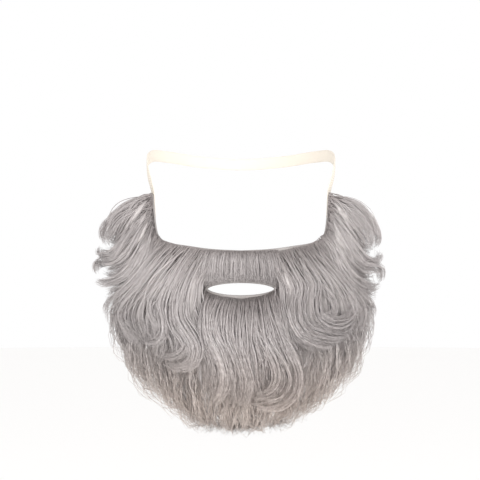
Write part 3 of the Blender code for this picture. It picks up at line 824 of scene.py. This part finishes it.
# %% The locks of the lower layers
Lock = namedtuple("Lock", "s z length root quarter half three tip width thick lift flare")
UPPER_ROW = [
    Lock(104, 52, 44, 60, 52, 44, 0, -60, 12, 12, 5, 84),
    Lock(103, 37, 46, 44, 42, 40, 40, 60, 12, 12, 5, 82),
    Lock(98, 24, 50, 38, 38, 40, 34, 30, 12, 12, 6, 76),
    Lock(86, 14, 78, 40, 42, 36, 10, -40, 12, 12, 8, 44),
    Lock(70, 12, 92, 38, 40, 24, 0, -50, 12, 12, 10, 16),
    Lock(55, 11, 96, 32, 32, 10, -6, -40, 12, 12, 10, 2),
    Lock(40, 10, 96, 20, 18, -4, -6, 20, 12, 11, 9, 0),
]
SECOND_ROW = [
    Lock(100, 2, 74, 48, 46, 36, 10, -60, 13, 12, 10, 60),
    Lock(88, -2, 88, 44, 44, 30, 4, -55, 13, 12, 12, 36),
    Lock(74, -4, 96, 38, 40, 24, 0, -60, 13, 12, 13, 16),
    Lock(60, -6, 100, 32, 32, 12, -6, -50, 13, 12, 13, 4),
    Lock(46, -9, 100, 22, 20, 4, -10, -40, 13, 12, 13, 0),
    Lock(35, -12, 98, 12, 10, -2, -4, 20, 13, 11, 12, 0),
]
TAB_ROW = [
    Lock(105, 54, 52, 84, 64, 44, 22, -10, 11, 8, 4, 84),
    Lock(112, 56, 50, 86, 66, 46, 24, 0, 11, 8, 4, 90),
    Lock(120, 53, 46, 84, 64, 44, 24, 0, 11, 8, 4, 96),
]
BACK_ROW = [
    Lock(116, 53, 42, 66, 56, 35, -20, -80, 13, 12, 4, 96),
    Lock(118, 40, 40, 52, 46, 50, 80, 170, 12, 12, 4, 96),
    Lock(118, 28, 40, 48, 46, 50, 70, 150, 12, 12, 4, 95),
    Lock(118, 16, 42, 46, 44, 50, 60, 130, 12, 12, 4, 94),
    Lock(117, 5, 46, 46, 42, 40, 40, 60, 12, 12, 5, 90),
    Lock(114, -6, 60, 48, 40, 24, 4, -30, 13, 12, 8, 80),
]
JAW_ROW = [
    Lock(112, -13, 76, 58, 47, 16, -18, -60, 15, 13, 10, 62),
    Lock(98, -25, 86, 48, 42, 16, -18, -60, 15, 13, 12, 44),
    Lock(81, -35, 94, 38, 34, 12, -18, -60, 15, 13, 12, 24),
    Lock(64, -41, 97, 28, 27, 10, -14, -50, 15, 13, 12, 9),
    Lock(47, -45, 96, 20, 21, 7, -10, -35, 15, 13, 11, 0),
    Lock(30, -47, 95, 11, 15, 4, -6, -25, 15, 13, 11, 0),
    Lock(13, -48, 93, 4, 6, 0, -2, -10, 15, 13, 11, 0),
    Lock(1, -48, 92, 0, 2, 0, 0, -5, 15, 13, 11, 0),
]
LIP_ROW = [
    Lock(-30, 12.2, 31.0, -10, -12, -15, -17, -18, 9, 6, 5.0, 0),
    Lock(-15, 11.6, 26.2, -3, -3, -4, -5, -5, 9, 6, 6.0, 0),
    Lock(0, 11.4, 25.2, 0, 0, 0, 0, 0, 9, 6, 6.0, 0),
    Lock(15, 11.6, 26.2, 3, 3, 4, 5, 5, 9, 6, 6.0, 0),
    Lock(30, 12.2, 31.0, 10, 12, 15, 17, 18, 9, 6, 5.0, 0),
]
CHANCE = Lock(0.6, 0.5, 3.0, 3, 4, 6, 8, 14, 0.8, 0.8, 1.4, 2)


def blend_rows(rows, count, chance, rng):
    """count locks along one row of roots. A lock's numbers are the straight blend of its two
    neighbours in the table, plus normal chance in the sizes that CHANCE gives."""
    numbers = np.array(rows, float)
    place = np.linspace(0, len(numbers) - 1, count)
    i = np.minimum(place.astype(int), len(numbers) - 2)
    share = (place - i)[:, None]
    mixed = numbers[i] * (1 - share) + numbers[i + 1] * share
    mixed += rng.normal(0, 1, mixed.shape) * np.array(CHANCE, float) * chance
    return Lock(*mixed.T)


def lock_paths(rows, sign, count, chance, rng, roll=0.0):
    """The paths of one row of locks on the right (1) or left (-1) side. The heading turns through
    its five angles, and a line is the sum of its short steps, laid onto the form of the hair. The
    last quarter may also roll under and inwards, by the angle roll."""
    lock = blend_rows(rows, count, chance, rng)
    t = np.linspace(0, 1, PATH_STEPS)
    turns = np.array([lock.root, lock.quarter, lock.half, lock.three, lock.tip])
    stations = np.linspace(0, 1, len(turns))
    heading = np.radians([smooth(t, stations, turn) for turn in turns.T])
    step = (lock.length / (PATH_STEPS - 1))[:, None]
    middle = (heading[:, 1:] + heading[:, :-1]) / 2
    under = np.radians(roll) * np.clip((t[1:] - 0.75) / 0.25, 0, 1)
    level = np.cos(under)
    moves = np.stack([np.sin(middle) * level, np.cos(middle) * level, np.sin(under) + 0 * middle])
    travel = np.cumsum(moves * step, axis=-1)
    aside, down, inwards = np.concatenate([np.zeros((3, count, 1)), travel], axis=-1)
    z = lock.z[:, None] - down
    flare = np.radians(lock.flare)[:, None]
    risen = np.sin(math.pi / 2 * np.minimum(t / 0.4, 1))
    h = CLOTH + (lock.lift[:, None] - CLOTH) * risen + aside * np.sin(flare)
    angle = (lock.s[:, None] + aside * np.cos(flare)) / MEAN_RADIUS
    points, outward, round_face = on_form(HAIR_FORM, angle, z, h - inwards)
    face_on = outward * np.cos(flare)[..., None] - round_face * np.sin(flare)[..., None]
    across, through = frames_along(points, face_on)
    mirror = np.array([sign, 1, 1])
    height = (h + 0 * z)[..., None]
    return Paths(points * mirror, across * mirror, through * mirror, height, lock.width, lock.thick)


chance = np.random.default_rng(7)
upper = [lock_paths(UPPER_ROW, sign, 18, 1.0, chance) for sign in (1, -1)]
second = [lock_paths(SECOND_ROW, sign, 14, 1.0, chance) for sign in (1, -1)]
back = [lock_paths(BACK_ROW, sign, 12, 1.0, chance) for sign in (1, -1)]
# The right side of the jaw falls a little wider than the left.
RIGHT_JAW = [lock._replace(half=lock.half + 6, three=lock.three + 6) for lock in JAW_ROW[:5]] + JAW_ROW[5:]
JAW_ROLL = 140
jaw = [lock_paths(rows, sign, 18, 0.7, chance, JAW_ROLL) for rows, sign in ((RIGHT_JAW, 1), (JAW_ROW, -1))]
tab = [lock_paths(TAB_ROW, sign, 6, 0.5, chance) for sign in (1, -1)]
lip = lock_paths(LIP_ROW, 1, 9, 0.15, chance)
print("Locks in the lower layers:", 2 * sum(len(row[0].width) for row in (upper, second, back, jaw, tab)))

# %% [markdown]
# ## Grey hair
#
# The hair is matt synthetic fibre, drawn and crimped under heat, in a mix of greys from ash to
# silver. Fibre like this scatters light softly and has only a dull highlight. Blender has a hair
# shader, but it needs its own hair curves and isn't kept in an export, so a rough, plain surface with
# good greys is used. Each strand gets its own grey, which is stored as its place across the piece's
# map. The map's other direction runs from root to tip, and a strand is painted a little darker at the
# root, as painted shade where it leaves the cloth.

# %% The strand material
crimped, tree, shader = new_material("crimped_grey_fibre")
# Crimped modacrylic fibre. It gives the eye a soft mix of fine light and dark lines.
GREYS = [(0.0, "#ada7a6"), (0.3, "#bbb5b4"), (0.6, "#c8c2c1"), (0.85, "#d3cdcb"), (1.0, "#dfdad8")]
# Painted shade: each strand is darker near its root, where it leaves the cloth.
PAINTED_ROOT_SHADE = [(0.0, "#d6d2d1"), (0.3, "#ffffff")]
PAINTED_WARM_REFLECTION = [(0.1, "#fff8f1"), (0.37, "#ffffff")]
PAINTED_FLECK_LIGHT = [(0.35, "#cfcbca"), (0.65, "#ffffff")]
FLECKS = 330.0  # noise cells in a metre, so that a fleck is about 3 mm long
places = add(tree, "ShaderNodeUVMap", uv_map=MAP_NAME)
split = add(tree, "ShaderNodeSeparateXYZ", {"Vector": places.outputs["UV"]})
grey = add(tree, "ShaderNodeValToRGB", {"Fac": split.outputs["X"]}, GREYS)
shade = add(tree, "ShaderNodeValToRGB", {"Fac": split.outputs["Y"]}, PAINTED_ROOT_SHADE)
# The lowest hair is a little warmer: a painted reflection of warm light from below.
where = add(tree, "ShaderNodeTexCoord").outputs["Object"]
height = add(tree, "ShaderNodeSeparateXYZ", {"Vector": where}).outputs["Z"]
level = add(tree, "ShaderNodeMapRange", {"Value": height, "From Min": -0.13, "From Max": 0.06})
warm = add(tree, "ShaderNodeValToRGB", {"Fac": level.outputs["Result"]}, PAINTED_WARM_REFLECTION)
# Crimps too fine to model are painted in as small flecks of light and shade, more of them low down where it
# is frizzy.
flecks = add(tree, "ShaderNodeTexNoise", {"Vector": where, "Scale": FLECKS, "Detail": 2.0, "Roughness": 0.6})
painted_light_flecks = add(tree, "ShaderNodeValToRGB", {"Fac": flecks.outputs["Fac"]}, PAINTED_FLECK_LIGHT)
inputs = {"Value": height, "From Min": -0.09, "From Max": 0.0, "To Min": 0.9, "To Max": 0.25}
amount = add(tree, "ShaderNodeMapRange", inputs).outputs["Result"]
colour = grey.outputs["Color"]
for factor, layer in ((1.0, shade), (1.0, warm), (amount, painted_light_flecks)):
    inputs = {"Factor": factor, "A": colour, "B": layer.outputs["Color"]}
    colour = add(tree, "ShaderNodeMix", inputs, data_type="RGBA", blend_type="MULTIPLY").outputs["Result"]
tree.links.new(colour, shader.inputs["Base Color"])
shader.inputs["Roughness"].default_value = 0.65
shader.inputs["Specular IOR Level"].default_value = 0.15


# %% [markdown]
# ## Combing
#
# Where the hair is sewn on, its strands lie evenly side by side. Further down they gather into locks,
# in small tufts that end at different lengths, with a few strays across them. Hair could be grown and
# brushed by hand, but it would be different each time. Here each row of locks is combed at once: the
# strands are whole arrays, worked out from the paths of the locks and a short list of habits.

# %% Strands combed along a row of locks
# A Comb says how one group of locks is combed. strands is the number in a row and rings the number
# along each. gather is how far a strand is drawn from the even sheet to its own lock. spread is its
# distance from its tuft, as a share of half the lock, and cross its drift sideways at the tip. wave,
# wave_length and frizz are the size and length of its waves and the size of its tight curls. shell is
# its range of depth, from -1 at the inner side of the lock to 1 at the outer. start is the last place
# where a strand begins and end the first where a tuft ends, as shares of the path. stray is the share
# of wisps that stand further off. grain is how much the greys differ, and tone is their middle.
# Lengths are in mm, and wave_length holds for a lock 100 mm long.
HABITS = "strands rings gather spread cross wave wave_length frizz shell start end stray grain tone"
Comb = namedtuple("Comb", HABITS)
STRAND_SIDES = 3
FIBRE_RADII = (0.17, 0.32)
TUFTS = 8  # in each lock
TUFT_SCATTER = 0.14
WISP = 2  # strands that lie almost together
STRAY_FACTOR = 3.0
FILLING = 0.35  # share of the wisps that lie deeper, between the locks
FILLING_DEPTH = (-1.7, -0.3)
FILLING_GATHER = 0.45
GATHER_FROM, GATHER_OVER, GATHER_POWER = 0.08, 0.55, 1.2
FRIZZ_TURNS = 11
TYPICAL_LENGTH = 100
RISE_OVER = 0.09  # share of the path in which a strand rises to its own depth
LATE_START_DEPTH = 6.0
TONE_WIDTH = 0.012  # how wide a strand is on the map


def lock_profile(t):
    """A lock's share of its full section: it swells from the root and tapers to a soft tip."""
    swell = 0.75 + 0.25 * np.sin(math.pi / 2 * np.minimum(t / 0.35, 1))
    taper = 1 - 0.6 * np.clip((t - 0.6) / 0.4, 0, 1) ** 2
    return swell * taper


def read_paths(values, lock, t):
    """The values of each strand's lock, read between the path's steps at the shares t."""
    place = np.clip(t, 0, 1) * (PATH_STEPS - 1)
    i = np.minimum(place.astype(int), PATH_STEPS - 2)
    share = (place - i)[..., None]
    lock = lock[:, None]
    return values[lock, i] * (1 - share) + values[lock, i + 1] * share


def comb_row(paths, comb, rng):
    """Strands along one row of locks, as (centre, across, through, radius, tone, along) arrays of
    strands by rings. At the root a strand lies on the blend of the two locks beside it, so the roots
    make one even sheet. Further down it is drawn towards the nearest lock:
    centre = (1 - g) blend + g (lock + its place across), where g grows from 0 to the comb's gather.
    Where gather is 1, g is 1 from the root on, so the locks stay separate. A strand's depth is
    layer sqrt(1 - place^2) of half the lock, and it rises to that from the lock's middle. One that
    begins further down starts below the middle, and none goes under the cloth."""
    wisps, locks = comb.strands // WISP, len(paths.width)
    place = (np.arange(wisps) + rng.uniform(0, 1, wisps)) / wisps * (locks - 0.1) - 0.45
    near = np.rint(place).clip(0, locks - 1).astype(int)
    tuft = ((place - near + 0.5) * TUFTS + rng.normal(0, 0.35, wisps)).clip(0, TUFTS - 0.01).astype(int)
    key = near * TUFTS + tuft
    tuft_across = ((np.arange(TUFTS) + 0.5) / TUFTS * 2 - 1) * 0.95
    tuft_across = np.tile(tuft_across, locks) + rng.normal(0, TUFT_SCATTER, locks * TUFTS)
    tuft_tone = rng.normal(0, 0.03, locks * TUFTS) + np.repeat(rng.normal(0, 0.04, locks), TUFTS)
    tuft_end = rng.uniform(comb.end, 1.0, locks * TUFTS)
    tuft_phase = rng.uniform(0, 2 * math.pi, locks * TUFTS)
    start = (rng.uniform(-1.5, 1, wisps) * comb.start).clip(0)
    end = np.maximum(tuft_end[key] - 2 * (1 - comb.end) * rng.beta(1.0, 3.0, wisps), start + 0.3)
    filling = rng.uniform(0, 1, wisps) < FILLING
    layer = np.where(filling, rng.uniform(*FILLING_DEPTH, wisps), rng.uniform(*comb.shell, wisps))
    # Deeper strands get darker greys, 0.04 for each unit of depth: painted shade inside the lock.
    tone = comb.tone + tuft_tone[key] + rng.normal(0, comb.grain, wisps) + 0.04 * layer
    stray = np.where(rng.uniform(0, 1, wisps) < comb.stray, STRAY_FACTOR, 1.0)
    away = rng.normal(0, comb.spread, (2, wisps))
    bow = rng.normal(0, 0.4 * comb.spread, (2, wisps))
    cross = rng.normal(0, comb.cross, wisps)
    phase = tuft_phase[key] + rng.normal(0, 0.5, wisps)
    # From here on each wisp is repeated as its strands, which lie close together.
    of_wisps = (start, end, layer, stray, away, bow, cross, phase, filling)
    start, end, layer, stray, away, bow, cross, phase, filling = (
        np.repeat(a, WISP, -1)[..., None] for a in of_wisps
    )
    near, place, key = (np.repeat(a, WISP) for a in (near, place, key))
    count = wisps * WISP
    tone = np.repeat(tone, WISP) + rng.normal(0, 0.04, count)
    end = end - rng.uniform(0, 0.06, (count, 1)) * (end - start)
    share = np.linspace(0, 1, comb.rings)
    t = start + (end - start) * share
    off = (away * (1 - 0.4 * t**1.5) + bow * np.sin(math.pi * share)) * stray
    u = tuft_across[key][:, None]
    v = off[1] * 0.5 + layer * np.sqrt(np.clip(1 - (u + off[0]) ** 2, 0.15, 1))
    size = lock_profile(t) / 2
    gather = np.where(filling, FILLING_GATHER * comb.gather, comb.gather)
    g = gather * np.clip((t - GATHER_FROM) / GATHER_OVER, 0, 1) ** GATHER_POWER
    g = np.where(comb.gather < 1, g, 1.0)
    sunk = np.exp(-(t - start) / RISE_OVER)
    own = rng.uniform(0, 2 * math.pi, (count, 1))
    turns = 2 * math.pi * t * TYPICAL_LENGTH / comb.wave_length + phase
    tight = 2 * math.pi * t * FRIZZ_TURNS + own
    apart = 0.3 * rng.normal(0, 1, (2, count, 1)) * (0.5 + t)
    loose = comb.frizz * t**2 * rng.uniform(0.3, 1.6, (count, 1)) * stray
    sideways = comb.wave * t * np.sin(turns) + loose * np.sin(tight) + apart[0] + cross * t
    outwards = comb.wave * 0.5 * t * np.cos(turns) + loose * np.cos(tight) + apart[1]
    low = np.floor(place).clip(0, locks - 2).astype(int)
    mix = (place - low)[:, None, None]
    draw = g[..., None]
    middle, across, through, height = (
        (read_paths(a, low, t) * (1 - mix) + read_paths(a, low + 1, t) * mix) * (1 - draw)
        + read_paths(a, near, t) * draw
        for a in paths[:4]
    )
    width, thick = paths.width[near][:, None], paths.thick[near][:, None]
    aside = (u * g + off[0] * np.minimum(t / 0.4, 1)) * width * size + sideways
    deep = v * thick * size * (1 - sunk) - sunk * LATE_START_DEPTH * (start > 0) + outwards
    deep = np.maximum(deep, CLOTH + 0.2 - height[..., 0])
    centre = middle + across * (aside * MM)[..., None] + through * (deep * MM)[..., None]
    fibre = rng.uniform(*FIBRE_RADII, (count, 1))
    radius = fibre * (1 - 0.75 * share**3) * (0.7 + 0.3 * np.minimum(share / 0.15, 1))
    return centre, across, through, radius * MM, tone.clip(0.03, 0.97), t


def tube_piece(name, rings, forward, u, v, material, node):
    """Joins closed tubes into one piece and gives its number of triangles. rings holds the points as
    tubes by rings by sides, and u and v their places on the map, with one more u for the seam. A tube
    is turned the wrong way round where (first spoke x a later one) . forward is below 0."""
    count, length, sides = rings.shape[:3]
    spokes = [rings[:, 0, k] - rings[:, 0].mean(1) for k in (0, max(1, sides // 4))]
    turned = np.einsum("nk,nk->n", np.cross(*spokes), forward) < 0
    number = np.arange(count * length * sides).reshape(count, length, sides)
    after = np.roll(number, -1, axis=2)
    quads = np.stack([number[:, :-1], after[:, :-1], after[:, 1:], number[:, 1:]], -1)
    caps = [number[:, 0, ::-1].copy(), number[:, -1].copy()]
    place = np.stack(np.broadcast_arrays(u, v), -1)
    corner = np.stack([place[:, :-1, :-1], place[:, :-1, 1:], place[:, 1:, 1:], place[:, 1:, :-1]], 3)
    # A mirrored tube runs the other way round, so its faces are turned to point outwards again.
    quads[turned] = quads[turned][..., ::-1]
    corner[turned] = corner[turned][..., ::-1, :]
    for cap in caps:
        cap[turned] = cap[turned][:, ::-1]
    ends = [place[:, 0, sides - 1 :: -1], place[:, -1, :sides]]
    uv = np.concatenate([a.reshape(-1, 2) for a in (corner, *ends)])
    faces = [quads.reshape(-1, 4), *caps]
    piece = build_piece(name, rings.reshape(-1, 3), faces, material, uv)
    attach(piece, "root")
    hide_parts(node)
    return 2 * len(faces[0]) + 2 * count * (sides - 2)


def strand_piece(name, rows, comb, seed, node):
    """Joins the strands of some rows into one piece of thin tubes, and gives its number of triangles.
    A ring of a tube is centre + radius (across cos a + through sin a)."""
    rng = np.random.default_rng(seed)
    parts = [comb_row(paths, comb, rng) for paths in rows]
    centre, across, through, radius, tone, along = (np.concatenate(a) for a in zip(*parts))
    turn = np.arange(STRAND_SIDES) * 2 * math.pi / STRAND_SIDES
    spoke = across[:, :, None] * np.cos(turn)[:, None] + through[:, :, None] * np.sin(turn)[:, None]
    vertices = centre[:, :, None] + spoke * radius[:, :, None, None]
    # Across the map a strand keeps to its own tone, with a narrow width for its sides.
    width = TONE_WIDTH * (np.arange(STRAND_SIDES + 1) / STRAND_SIDES - 0.5)
    u = tone[:, None, None] + width[None, None]
    forward = centre[:, 1] - centre[:, 0]
    triangles = tube_piece(name, vertices, forward, u, along[..., None], crimped, node)
    print(f"{name}: {len(tone)} strands, {triangles} triangles")
    return triangles


# %% [markdown]
# ## The undercoat
#
# Between the strands the eye must meet more hair, not the cloth. A real lock is full of fibres that
# nobody sees, and to draw them all would take far more strands than an export can hold. So each lock
# gets a closed, ridged core instead, about half as wide as the lock and sunk below its middle. A core
# is an ellipse carried along the lock's path, with ridges and streaks that run from root to tip as
# combed hair does. Its greys are darker than those of the strands, as painted shade for the inside of
# the lock.

# %% Undercoat
CORE_SIDES = 10
CORE_RINGS = 14
CORE_SHARE = 0.56
CORE_START = 0.10
CORE_LENGTH = 0.8
CORE_SUNK = 0.62
RIDGES = 3
RIDGE_DEPTH = 0.10
DESIGNS = 8
STREAKS_ROUND = 26
STREAKS_ALONG = 7

undercoat, tree, shader = new_material("shaded_grey_fibre")
places = add(tree, "ShaderNodeUVMap", uv_map=MAP_NAME)
stretch = {"Vector": places.outputs["UV"], "Scale": (STREAKS_ROUND * DESIGNS, STREAKS_ALONG, 1)}
spread = add(tree, "ShaderNodeMapping", stretch)
inputs = {"Vector": spread.outputs["Vector"], "Scale": 1.0, "Detail": 3.0}
streak = add(tree, "ShaderNodeTexNoise", inputs)
# The cores' darker greys are painted shade for the inside of each lock.
stops = [(0.36, "#a09a98"), (0.64, "#c6c0be")]
grey = add(tree, "ShaderNodeValToRGB", {"Fac": streak.outputs["Fac"]}, stops)
tree.links.new(grey.outputs["Color"], shader.inputs["Base Color"])
inputs = {"Height": streak.outputs["Fac"], "Strength": 0.5, "Distance": 0.0006}
relief = add(tree, "ShaderNodeBump", inputs)
tree.links.new(relief.outputs["Normal"], shader.inputs["Normal"])
shader.inputs["Roughness"].default_value = 0.7


def core_rings(paths, rng):
    """The cores of one row as rings of points: an ellipse whose radius is
    1 + depth cos(ridges a + twist t), sunk below the lock's middle, and closed softly at its end."""
    t = np.linspace(CORE_START, CORE_LENGTH, CORE_RINGS)
    count = len(paths.width)
    lock = np.arange(count)
    where = np.broadcast_to(t, (count, CORE_RINGS))
    points, across, through, height = (read_paths(a, lock, where) for a in paths[:4])
    a = np.linspace(0, 2 * math.pi, CORE_SIDES, endpoint=False)
    own = rng.uniform(0, 6, (count, 1, 1))
    ridge = 1 + RIDGE_DEPTH * np.cos(RIDGES * a + 3 * t[:, None] + own)
    share = np.linspace(0, 1, CORE_RINGS)
    closing = np.sqrt(1 - np.clip((share - 0.6) / 0.4, 0, 0.98) ** 2) * np.minimum(0.15 + share / 0.35, 1)
    size = (lock_profile(t) * closing * CORE_SHARE * MM / 2)[:, None] * ridge
    width, thick = paths.width[:, None, None], paths.thick[:, None, None]
    sunk = np.minimum(share / 0.3, 1)[:, None] * CORE_SUNK
    aside = np.cos(a) * size * width
    deep = np.sin(a) * size * thick - sunk * thick * MM / 2
    deep = np.maximum(deep, (CLOTH + 0.3 - height) * MM)
    return points[:, :, None] + across[:, :, None] * aside[..., None] + through[:, :, None] * deep[..., None]


def undercoat_piece(name, rows, seed, node):
    """Joins the cores of some rows into one piece."""
    rng = np.random.default_rng(seed)
    vertices = np.concatenate([core_rings(paths, rng) for paths in rows])
    # The cores share a few columns of the map, so that the streaks in each stay fine.
    column = (np.arange(len(vertices))[:, None, None] % DESIGNS + 0.02) / DESIGNS
    u = column + 0.96 * np.arange(CORE_SIDES + 1)[None, None] / CORE_SIDES / DESIGNS
    v = np.linspace(0, 1, CORE_RINGS)[None, :, None]
    forward = vertices[:, 1].mean(1) - vertices[:, 0].mean(1)
    triangles = tube_piece(name, vertices, forward, u, v, undercoat, node)
    print(f"{name}: {len(vertices)} cores, {triangles} triangles")


# The jaw's cores lie deeper and touch each other, so that little light comes through from behind.
JAW_SUNK = 3.0
JAW_WIDER = 1.6
deeper = [
    row._replace(points=row.points - row.through * JAW_SUNK * MM, width=row.width * JAW_WIDER) for row in jaw
]
undercoat_piece("beard_undercoat", [*top_rows, *upper, *second, *back, *deeper], 3, "beard_hair")

# %% [markdown]
# ## The strands
#
# Each group of locks is combed with its own habit. The moustache is short and straight, in the
# darkest greys. The sheet over the cheeks and chin is smooth, with separate curls on it. The layers
# behind are plainer, because little of them is seen. The ends under the jaw are loose and frizzy, in
# the lightest greys. Every group is a piece of its own, so that none grows too large to export.

# %% Strands
TOP = Comb(1020, 15, 0.36, 0.36, 1.6, 0.9, 46, 0.30, (-0.4, 1.0), 0.25, 0.94, 0.04, 0.04, 0.50)
CURLS = Comb(92, 17, 1.0, 0.28, 0.5, 0.6, 46, 0.25, (-0.4, 1.0), 0.2, 0.94, 0.03, 0.04, 0.51)
CHIN = Comb(1300, 14, 0.38, 0.34, 1.2, 1.8, 40, 0.7, (-0.5, 1.0), 0.25, 0.88, 0.04, 0.04, 0.45)
UNDER = Comb(340, 11, 0.45, 0.30, 4.0, 1.5, 40, 2.0, (-0.8, 1.0), 0.4, 0.88, 0.05, 0.05, 0.27)
BEHIND = Comb(480, 11, 0.75, 0.26, 1.5, 1.0, 40, 0.3, (-1.0, 1.0), 0.4, 0.88, 0.04, 0.05, 0.40)
LOOSE = Comb(1000, 13, 0.2, 0.42, 4.0, 3.0, 26, 2.8, (-1.2, 1.0), 0.4, 0.97, 0.02, 0.05, 0.85)
SHORT = Comb(150, 10, 0.4, 0.28, 0.5, 0.5, 40, 0.1, (-0.8, 1.0), 0.2, 0.85, 0.02, 0.05, 0.36)
FRINGE = Comb(1200, 8, 0.25, 0.30, 0.2, 0.25, 30, 0.02, (-0.4, 1.0), 0.10, 0.985, 0.02, 0.04, 0.16)

CHIN_CURLS = CURLS._replace(tone=0.60)
FRONT = (("left", TOP, CURLS, 12), ("chin", CHIN, CHIN_CURLS, 14), ("right", TOP, CURLS, 13))

total = strand_piece("moustache_strands", [lip], FRINGE, 11, "moustache_hair")
for (side, sheet, single, seed), top, curls in zip(FRONT, top_rows, curl_rows):
    single = single._replace(strands=single.strands * len(curls.width))
    total += strand_piece(f"{side}_strands", [top], sheet, seed, "beard_hair")
    total += strand_piece(f"{side}_curls", [curls], single, seed + 10, "beard_hair")
total += strand_piece("lower_layer_strands", [*upper, *second], UNDER, 15, "beard_hair")
total += strand_piece("back_strands", back, BEHIND, 16, "beard_hair")
total += strand_piece("jaw_strands", jaw, LOOSE, 17, "beard_hair")
total += strand_piece("tab_strands", tab, SHORT, 18, "beard_hair")
print("Strand triangles in all:", total)
